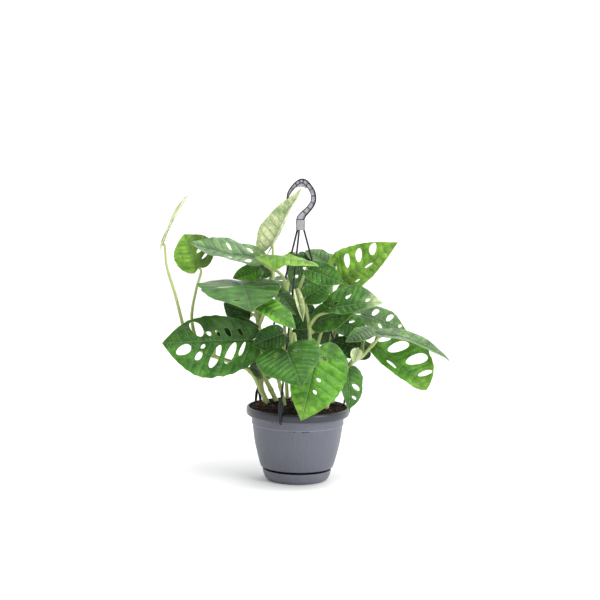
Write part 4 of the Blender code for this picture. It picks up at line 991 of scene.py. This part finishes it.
class Blade:
    """A leaf's blade: its flat outline and holes, and how the flat sheet lies in space."""

    def __init__(self, name, row):
        self.name, self.row = name, row
        self.base = Vector(row["base"])
        along = Vector(row["tip"]) - self.base
        self.chord = along.length
        self.along = along.normalized()
        up = Vector(row["face"])
        self.up = (up - up.dot(self.along) * self.along).normalized()
        self.across = self.along.cross(self.up)
        self.arch = math.radians(row["arch"])
        self.length = self.chord * (self.arch / 2) / math.sin(self.arch / 2)
        self.seed = Vector((sum(map(ord, name)) * 1.7, len(name) * 3.1, 0.0))

    def side(self, full):
        """One half of the flat outline, from the stalk's notch to the tip."""
        knots = [Vector((0.0, 0.0))]
        knots += [Vector((full * w, self.length * (v * self.row["lobe"] if v < 0 else v)))
                  for v, w in self.row["shape"]]
        line = smooth_line(knots + [Vector((0.0, self.length))], 5)
        rough = []
        for point in line:
            phase = self.row["veins"] * (point.y - VEIN_RISE * abs(point.x)) / self.length
            lift = 1.0 + 0.035 * noise.noise(Vector((point.y * 0.07, full, 0.0)) + self.seed)
            lift += 0.014 * math.sin(math.tau * (phase - 0.25))
            rough.append((point.x * lift, min(point.y, self.length)))
        return rough

    def edge(self):
        """The whole flat outline, anticlockwise from the stalk."""
        return self.side(self.row["right"]) + self.side(-self.row["left"])[1:-1][::-1]

    def half_width(self, sign, share):
        """How wide the blade is on one side at a share of its length."""
        full = self.row["left"] if sign < 0 else self.row["right"]
        shape = self.row["shape"]
        for (a, wa), (b, wb) in zip(shape[3:], shape[4:]):
            if share <= b:
                return full * (wa + (wb - wa) * max(0.0, (share - a) / (b - a)))
        return full * shape[-1][1]

    def hole(self, spec, sides=20):
        """One hole's flat outline: an eye along the side vein that it lies beside."""
        side, share, inner, outer, width = spec
        sign = -1 if side == "L" else 1
        full = self.half_width(sign, share)
        middle, reach = full * (inner + outer) / 2, full * (outer - inner) / 2
        ring = []
        for i in range(sides):
            turn = math.tau * i / sides
            along = math.copysign(abs(math.cos(turn)) ** 0.9, math.cos(turn))
            wide = width / 2 * math.sin(turn) * (1.0 + 0.18 * math.cos(turn))
            ring.append((sign * (middle + reach * along), self.length * share + VEIN_RISE * reach * along + wide))
        return ring

    def relief(self, x, y, margin):
        """How far the quilted surface stands out at a flat point."""
        row, share = self.row, y / self.length
        full = row["left"] if x < 0 else row["right"]
        phase = row["veins"] * (y - VEIN_RISE * abs(x)) / self.length
        inland = smooth_step(0.0, 6.0, margin)
        puff = 0.5 - 0.5 * math.cos(math.tau * phase)
        lift = row["quilt"] * (puff - 0.4) * smooth_step(0.5, 7.0, abs(x)) * inland
        lift += 0.35 * row["quilt"] * noise.noise(Vector((x * 0.13, y * 0.13, 0.0)) + self.seed) * inland
        lift -= 0.5 * smooth_step(2.2, 0.0, abs(x))
        bulge = noise.noise(Vector((x * 0.032, y * 0.032, 0.0)) + self.seed)
        lift += 3.2 * bulge * smooth_step(4.0, 30.0, math.hypot(x, y))
        turn = math.tau * share + (0.9 if x < 0 else 0.0) + self.seed.x
        swing = math.sin(1.4 * turn) + 0.35 * abs(x / full) * math.sin(3.3 * turn)
        return lift + row["wave"] * (x / full) ** 2 * swing

    def bend(self, x, y, lift=0.0):
        """The place in space of a flat point, lifted off the sheet by a distance."""
        slope = self.arch * (0.5 - y / self.length)
        radius = self.length / self.arch
        spot = self.along * radius * (math.sin(self.arch / 2) - math.sin(slope))
        spot += self.up * radius * (math.cos(slope) - math.cos(self.arch / 2))
        out = self.up * math.cos(slope) - self.along * math.sin(slope)
        tilt = math.radians(self.row["fold"])
        return self.base + spot + self.across * x * math.cos(tilt) + out * (abs(x) * math.sin(tilt) + lift)

    def grid(self, near):
        """Points between the veins and on them, clear of the edge and the holes."""
        step = self.length / (self.row["veins"] * 4)
        widest = max(self.row["left"], self.row["right"])
        points = []
        for column in [0.9, 2.2] + [4.4 + 2.8 * i for i in range(int(widest / 2.8))]:
            for sign in (-1, 1):
                for k in range(-14, self.row["veins"] * 4):
                    spot = (sign * column, k * step + VEIN_RISE * column)
                    if near.find((*spot, 0.0))[2] > 1.25:
                        points.append(spot)
        return points


def within(points, ring):
    """Which flat points lie within a closed outline."""
    x, y = points[:, 0], points[:, 1]
    found = np.zeros(len(points), bool)
    for (ax, ay), (bx, by) in zip(ring, ring[1:] + ring[:1]):
        if ay != by:
            found ^= ((ay > y) != (by > y)) & (x < (bx - ax) * (y - ay) / (by - ay) + ax)
    return found


def blade_tint(row, x, share):
    """The green of a place on the blade."""
    full = row["left"] if x < 0 else row["right"]
    end = smooth_step(0.62, 1.0, share)
    # The gain from sides lightens or darkens each half: painted light and shade. The line after makes the green darker
    # towards the base and the midrib.
    gain = 1.0 + (row["sides"][0 if x < 0 else 1] - 1.0) * smooth_step(-0.1, 0.5, abs(x) / full)
    gain *= 0.62 + 0.38 * smooth_step(-0.15, 0.5, share + 0.5 * abs(x) / full)
    return tuple(min(1.0, (a + (b - a) * end) * gain) for a, b in zip(row["colour"], row["tip_colour"]))


def make_blade(name, row, settings, finishes):
    """One leaf: its outline and holes cut in a fine flat sheet, puffed between the veins, bent and thickened."""
    blade = Blade(name, row)
    edge = blade.edge()
    rings = [edge] + [blade.hole(spec) for spec in row["holes"]]
    flat, lines = [], []
    for ring in rings:
        start = len(flat)
        flat += ring
        lines += [(start + i, start + (i + 1) % len(ring)) for i in range(len(ring))]
    near = kdtree.KDTree(len(flat))
    for i, point in enumerate(flat):
        near.insert((*point, 0.0), i)
    near.balance()
    steps = row["veins"] * 4
    chain = [0] + list(range(len(flat), len(flat) + steps - 1)) + [len(edge) // 2]
    flat += [(0.0, blade.length * (i + 1) / steps) for i in range(steps - 1)]
    lines += list(zip(chain, chain[1:]))
    flat += blade.grid(near)
    verts, _, faces, *_ = geometry.delaunay_2d_cdt([Vector(p) for p in flat], lines, [], 0, 0.001)
    middles = np.array([sum((verts[i] for i in face), Vector((0, 0))) / len(face) for face in faces])
    keep = within(middles, edge)
    for ring in rings[1:]:
        keep &= ~within(middles, ring)
    kept = [face for face, good in zip(faces, keep) if good]
    used = sorted({i for face in kept for i in face})
    place = {old: new for new, old in enumerate(used)}
    margins = [near.find((*verts[i], 0.0))[2] for i in used]
    mesh = bpy.data.meshes.new(name)
    mesh.from_pydata(
        [blade.bend(*verts[i], blade.relief(*verts[i], m)) * MM for i, m in zip(used, margins)], [],
        [[place[i] for i in face] for face in kept])
    for label, kind in (("blade", "FLOAT_VECTOR"), ("tint", "FLOAT_COLOR"), ("margin", "FLOAT")):
        mesh.attributes.new(label, kind, "POINT")
    marks, tints, edges = (mesh.attributes[label].data for label in ("blade", "tint", "margin"))
    for new, (old, margin) in enumerate(zip(used, margins)):
        x, y = verts[old]
        phase = row["veins"] * (y - VEIN_RISE * abs(x)) / blade.length
        marks[new].vector = (x / 100.0, y / blade.length, phase)
        tints[new].color = (*blade_tint(row, x, y / blade.length), 1.0)
        edges[new].value = margin / 10.0
    thing = bpy.data.objects.new(name, mesh)
    bpy.context.scene.collection.objects.link(thing)
    thick = thing.modifiers.new("thickness", "SOLIDIFY")
    thick.thickness = settings.blade_thickness
    thick.offset = 0.0
    thick.material_offset = 1
    for finish in finishes:
        mesh.materials.append(finish)
    apply_all(thing)
    return settle(thing, f"blade_{name}", finishes, [f"leaf_{name}"], 50.0)


def stalk_end(row):
    """The last points of a stalk: below and behind the leaf, then in its notch."""
    blade = Blade("stalk", row)
    half = blade.arch / 2
    out = blade.up * math.cos(half) - blade.along * math.sin(half)
    back = blade.along * math.cos(half) + blade.up * math.sin(half)
    pull = blade.base - out * row["reach"] - back * row["reach"] * 0.55
    return [pull, blade.base - out * 0.5]


def ringed(line, radii, knots, height, width):
    """Radii with a soft ring at each knot, and how near each point is to one."""
    swollen, near = [], []
    for point, radius in zip(line, radii):
        close = min((point - knot).length for knot in knots)
        share = math.exp(-(close / width) ** 2)
        swollen.append(radius * (1.0 + height * share))
        near.append(share)
    return swollen, near


def mark_rod(thing, line, rings, grown):
    """Note on a rod's points how near a joint they are and how far along they have grown."""
    near = kdtree.KDTree(len(line))
    for i, point in enumerate(line):
        near.insert(point * MM, i)
    near.balance()
    for label in ("ring", "grown"):
        thing.data.attributes.new(label, "FLOAT", "POINT")
    ring, age = (thing.data.attributes[label].data for label in ("ring", "grown"))
    for i, vert in enumerate(thing.data.vertices):
        found = near.find(vert.co)[1]
        ring[i].value = rings[found]
        age[i].value = grown[found]
    return thing


def make_vine(name, spec, settings, finish):
    """One vine: its jointed stem and the leaf stalks that sheathe it, with their swollen ends."""
    x, y = spec["stem"][0]
    knots = [Vector((x, y, STEM_FOOT)), Vector((x, y, STEM_FOOT + STEM_RISE))]
    knots += [Vector(p) for p in spec["stem"][1:]]
    line = smooth_line(knots, 10)
    thick, last = settings.stem_radius / MM, len(line) - 1
    widest = thick * spec.get("thick", 1.0) * 1.1
    radii = [widest + (thick * 0.8 - widest) * i / last for i in range(len(line))]
    radii, rings = ringed(line, radii, knots[1:], 0.22, 2.6)
    grown = [0.25 * (math.sin(i * 0.35) + 1) / 2 for i in range(len(line))]
    rods = [mark_rod(tube(line, radii, 3), line, rings, grown)]
    foot, tip = settings.stalk_foot_radius / MM, settings.stalk_tip_radius / MM
    for leaf_name, start, passing in spec["stalks"]:
        route = [knots[start + 1]] + [Vector(p) for p in passing] + stalk_end(LEAVES[leaf_name])
        path = smooth_line(route, 9)
        last = len(path) - 1
        sizes = []
        for i in range(len(path)):
            t = i / last
            size = foot + (tip - foot) * smooth_step(0.0, 0.8, t)
            size *= 1.0 + 0.30 * smooth_step(0.25, 0.0, t) + 0.22 * smooth_step(0.90, 0.96, t)
            sizes.append(size)
        joint = [smooth_step(0.94, 1.0, i / last) * 0.5 for i in range(len(path))]
        age = [smooth_step(0.55, 0.0, i / last) * 0.5 for i in range(len(path))]
        rods.append(mark_rod(tube(path, sizes, 3), path, joint, age))
    vine = join(rods)
    return settle(vine, f"{name}_stem", [finish], [name], 60.0)


def make_sheaths():
    """Dry papery sheaths at some joints of the stems."""
    flakes = []
    dice = random.Random(3)
    for spec in VINES.values():
        for point in spec["stem"][2:-1]:
            if dice.random() < 0.55:
                here = Vector(point)
                lean = Vector((dice.uniform(-0.5, 0.5), dice.uniform(-0.5, 0.2), 1.0)).normalized()
                path = [here + lean * 15 * i / 8 + Vector((1.2 * math.sin(i), 0, 0)) * 0.3 for i in range(9)]
                side = Vector((dice.uniform(-1, 1), -1, 0)).normalized() * 2.2
                flakes.append(tube([p + side for p in path],
                                   [0.9 * (1 - i / 8) ** 0.7 * (0.6 + 0.8 * (i < 6)) + 0.08 for i in range(9)], 2))
    sheaths = join(flakes)
    return settle(sheaths, "dry_sheaths", [finish_of("dry_sheath", dry_sheath)], (), 60.0)


class PotSettings(PropertyGroup):
    """The pot, its saucer and what lies on the soil"""
    rim_radius: FloatProperty(name="Rim radius", description="Outer radius of the pot's rim band",
                              default=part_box("pot")[1][0], min=0.02, unit="LENGTH")
    plastic_colour: FloatVectorProperty(name="Pot plastic", description="Colour of the pot and its saucer",
                                        default=(0.098, 0.103, 0.132), min=0.0, max=1.0, subtype="COLOR")
    chips: IntProperty(name="Bark chips", description="How many bark chips lie on the soil", default=620, min=0)


class HangerSettings(PropertyGroup):
    """The hanger's colours"""
    plastic_colour: FloatVectorProperty(name="Hanger plastic", description="Colour of the strands and borders",
                                        default=(0.020, 0.021, 0.026), min=0.0, max=1.0, subtype="COLOR")
    web_colour: FloatVectorProperty(name="Hook web", description="Colour of the hook's thin web",
                                    default=(0.36, 0.355, 0.385), min=0.0, max=1.0, subtype="COLOR")


class FoliageSettings(PropertyGroup):
    """Blades, stems and stalks"""
    blade_thickness: FloatProperty(name="Blade thickness", description="Thickness of a leaf's blade",
                                   default=0.0007, min=0.0001, unit="LENGTH")
    stem_radius: FloatProperty(name="Stem radius", description="Radius of a vine's stem half way up",
                               default=0.0029, min=0.0005, unit="LENGTH")
    stalk_foot_radius: FloatProperty(name="Stalk foot radius", description="Radius of a leaf stalk where it starts",
                                     default=0.0026, min=0.0003, unit="LENGTH")
    stalk_tip_radius: FloatProperty(name="Stalk tip radius", description="Radius of a leaf stalk below the blade",
                                    default=0.0017, min=0.0003, unit="LENGTH")
    stem_colour: FloatVectorProperty(name="Stem green", description="Colour of stems and stalks",
                                     default=(0.29, 0.40, 0.13), min=0.0, max=1.0, subtype="COLOR")


class StageSettings(PropertyGroup):
    """Floor, light and camera"""
    floor_colour: FloatVectorProperty(name="Floor", description="Colour of the studio floor",
                                      default=(0.965, 0.965, 0.970), min=0.0, max=1.0, subtype="COLOR")
    camera_distance: FloatProperty(name="Camera distance", description="How far in front the camera stands",
                                   default=2.40, min=0.5, unit="LENGTH")
    camera_height: FloatProperty(name="Camera height", description="How high the camera stands",
                                 default=0.54, min=0.0, unit="LENGTH")
    key_power: FloatProperty(name="Key light", description="Power of the main soft light", default=38.0, min=0.0,
                             unit="POWER")
    sky_strength: FloatProperty(name="Room light", description="Strength of the white room", default=1.3,
                                min=0.0)


class MONSTERA_OT_pot(Operator):
    """Spin the pot with its rim, ledge and drain holes"""
    bl_idname = "monstera.pot"
    bl_label = "Pot"

    def execute(self, context):
        make_pot(context.scene.monstera_pot)
        return {"FINISHED"}


class MONSTERA_OT_saucer(Operator):
    """Spin the clip-on saucer"""
    bl_idname = "monstera.saucer"
    bl_label = "Saucer"

    def execute(self, context):
        make_saucer(context.scene.monstera_pot)
        return {"FINISHED"}


class MONSTERA_OT_soil(Operator):
    """Lay the soil's crust and its bark chips"""
    bl_idname = "monstera.soil"
    bl_label = "Soil and bark"

    def execute(self, context):
        make_soil(context.scene.monstera_pot)
        return {"FINISHED"}


class MONSTERA_OT_hanger(Operator):
    """Mould the hook, collar, strands and rim clips"""
    bl_idname = "monstera.hanger"
    bl_label = "Hanger"

    def execute(self, context):
        make_hanger(context.scene.monstera_hanger)
        return {"FINISHED"}


class MONSTERA_OT_vines(Operator):
    """Grow the stems and leaf stalks"""
    bl_idname = "monstera.vines"
    bl_label = "Vines"

    def execute(self, context):
        settings = context.scene.monstera_foliage
        finish = finish_of("stem_skin", stem_skin, tuple(settings.stem_colour))
        for name, spec in VINES.items():
            make_vine(name, spec, settings, finish)
        make_sheaths()
        return {"FINISHED"}


class MONSTERA_OT_leaves(Operator):
    """Cut, quilt and bend every leaf"""
    bl_idname = "monstera.leaves"
    bl_label = "Leaves"

    def execute(self, context):
        finishes = [finish_of("leaf_upper", leaf_upper), finish_of("leaf_underside", leaf_under)]
        for name, row in LEAVES.items():
            make_blade(name, row, context.scene.monstera_foliage, finishes)
        return {"FINISHED"}


class MONSTERA_OT_stage(Operator):
    """Set the floor, the soft lights and the camera"""
    bl_idname = "monstera.stage"
    bl_label = "Stage"

    def execute(self, context):
        settings = context.scene.monstera_stage
        make_floor(settings)
        make_lights(settings)
        make_camera(settings)
        return {"FINISHED"}


def make_floor(settings):
    """A wide white floor under the saucer."""
    floor = fresh(bpy.ops.mesh.primitive_circle_add, vertices=96, radius=FLOOR_RADIUS, fill_type="NGON")
    floor.name = floor.data.name = "studio_floor"
    bpy.ops.object.mode_set(mode="EDIT")
    bpy.ops.mesh.select_all(action="SELECT")
    bpy.ops.transform.translate(value=(0, 0, -FLOOR_DROP * MM))
    bpy.ops.object.mode_set(mode="OBJECT")
    floor.data.materials.append(finish_of("studio_floor", floor_paper, tuple(settings.floor_colour)))


def soft_light(name, place, size, power):
    """A square soft light at a place, aimed at the foot of the plant."""
    lamp = bpy.data.lights.new(name, "AREA")
    lamp.shape, lamp.size, lamp.energy = "SQUARE", size, power
    thing = bpy.data.objects.new(name, lamp)
    thing.location = place
    thing.rotation_euler = (Vector(LIGHT_TARGET) - Vector(place)).to_track_quat("-Z", "Y").to_euler()
    bpy.context.scene.collection.objects.link(thing)


def make_lights(settings):
    """A white room with a dim ceiling in front, a large key light on the right and two weaker ones."""
    world = bpy.context.scene.world or bpy.data.worlds.new("studio")
    bpy.context.scene.world = world
    sky = Sky(world)
    way = sky.node("ShaderNodeTexCoord", out=0)
    _, y, z = sky.parts(way)
    ceiling = (-y).above(-0.1, 0.45) * z.above(0.10, 0.35)
    background = sky.tree.nodes["Background"]
    sky.put(background.inputs["Color"], sky.blend((1.0, 1.0, 1.0), (0.14, 0.14, 0.14), ceiling))
    sky.put(background.inputs["Strength"], settings.sky_strength)
    for name, (place, size, share) in LIGHTS.items():
        soft_light(name, place, size, settings.key_power * share)
    bpy.context.scene.view_settings.view_transform = "Standard"


def make_camera(settings):
    """The camera, a little above the pot and leaning by a degree."""
    lens = bpy.data.cameras.new("studio_camera")
    lens.sensor_width = 36.0
    lens.lens = LENS
    camera = bpy.data.objects.new("studio_camera", lens)
    pitch = Matrix.Rotation(math.radians(90.0 - CAMERA_PITCH), 4, "X")
    tilt = pitch @ Matrix.Rotation(math.radians(CAMERA_LEAN), 4, "Z")
    camera.matrix_world = Matrix.Translation((0, -settings.camera_distance, settings.camera_height)) @ tilt
    bpy.context.scene.collection.objects.link(camera)
    bpy.context.scene.camera = camera


class MONSTERA_PT_sidebar(Panel):
    """Every setting, and a button for every piece"""
    bl_idname = "MONSTERA_PT_sidebar"
    bl_label = "Hanging Monstera"
    bl_space_type = "VIEW_3D"
    bl_region_type = "UI"
    bl_category = "Monstera"

    def draw(self, context):
        scene = context.scene
        for group in (scene.monstera_pot, scene.monstera_hanger, scene.monstera_foliage, scene.monstera_stage):
            box = self.layout.box()
            for name in group.__annotations__:
                box.prop(group, name)
        for operator in OPERATORS:
            self.layout.operator(operator.bl_idname)


SETTINGS = (PotSettings, HangerSettings, FoliageSettings, StageSettings)
OPERATORS = (MONSTERA_OT_stage, MONSTERA_OT_pot, MONSTERA_OT_saucer, MONSTERA_OT_soil, MONSTERA_OT_hanger,
             MONSTERA_OT_vines, MONSTERA_OT_leaves)
POINTERS = {"monstera_pot": PotSettings, "monstera_hanger": HangerSettings, "monstera_foliage": FoliageSettings,
            "monstera_stage": StageSettings}


def register():
    """Add the settings, the operators and the panel."""
    for made in (*SETTINGS, *OPERATORS, MONSTERA_PT_sidebar):
        bpy.utils.register_class(made)
    for name, group in POINTERS.items():
        setattr(bpy.types.Scene, name, PointerProperty(type=group))


def unregister():
    """Take them away again."""
    for name in POINTERS:
        delattr(bpy.types.Scene, name)
    for made in reversed((*SETTINGS, *OPERATORS, MONSTERA_PT_sidebar)):
        bpy.utils.unregister_class(made)


def main():
    """Make the stage and every piece."""
    register()
    bpy.ops.monstera.stage()
    bpy.ops.monstera.pot()
    bpy.ops.monstera.saucer()
    bpy.ops.monstera.soil()
    bpy.ops.monstera.hanger()
    bpy.ops.monstera.vines()
    bpy.ops.monstera.leaves()


if __name__ == "__main__":
    main()
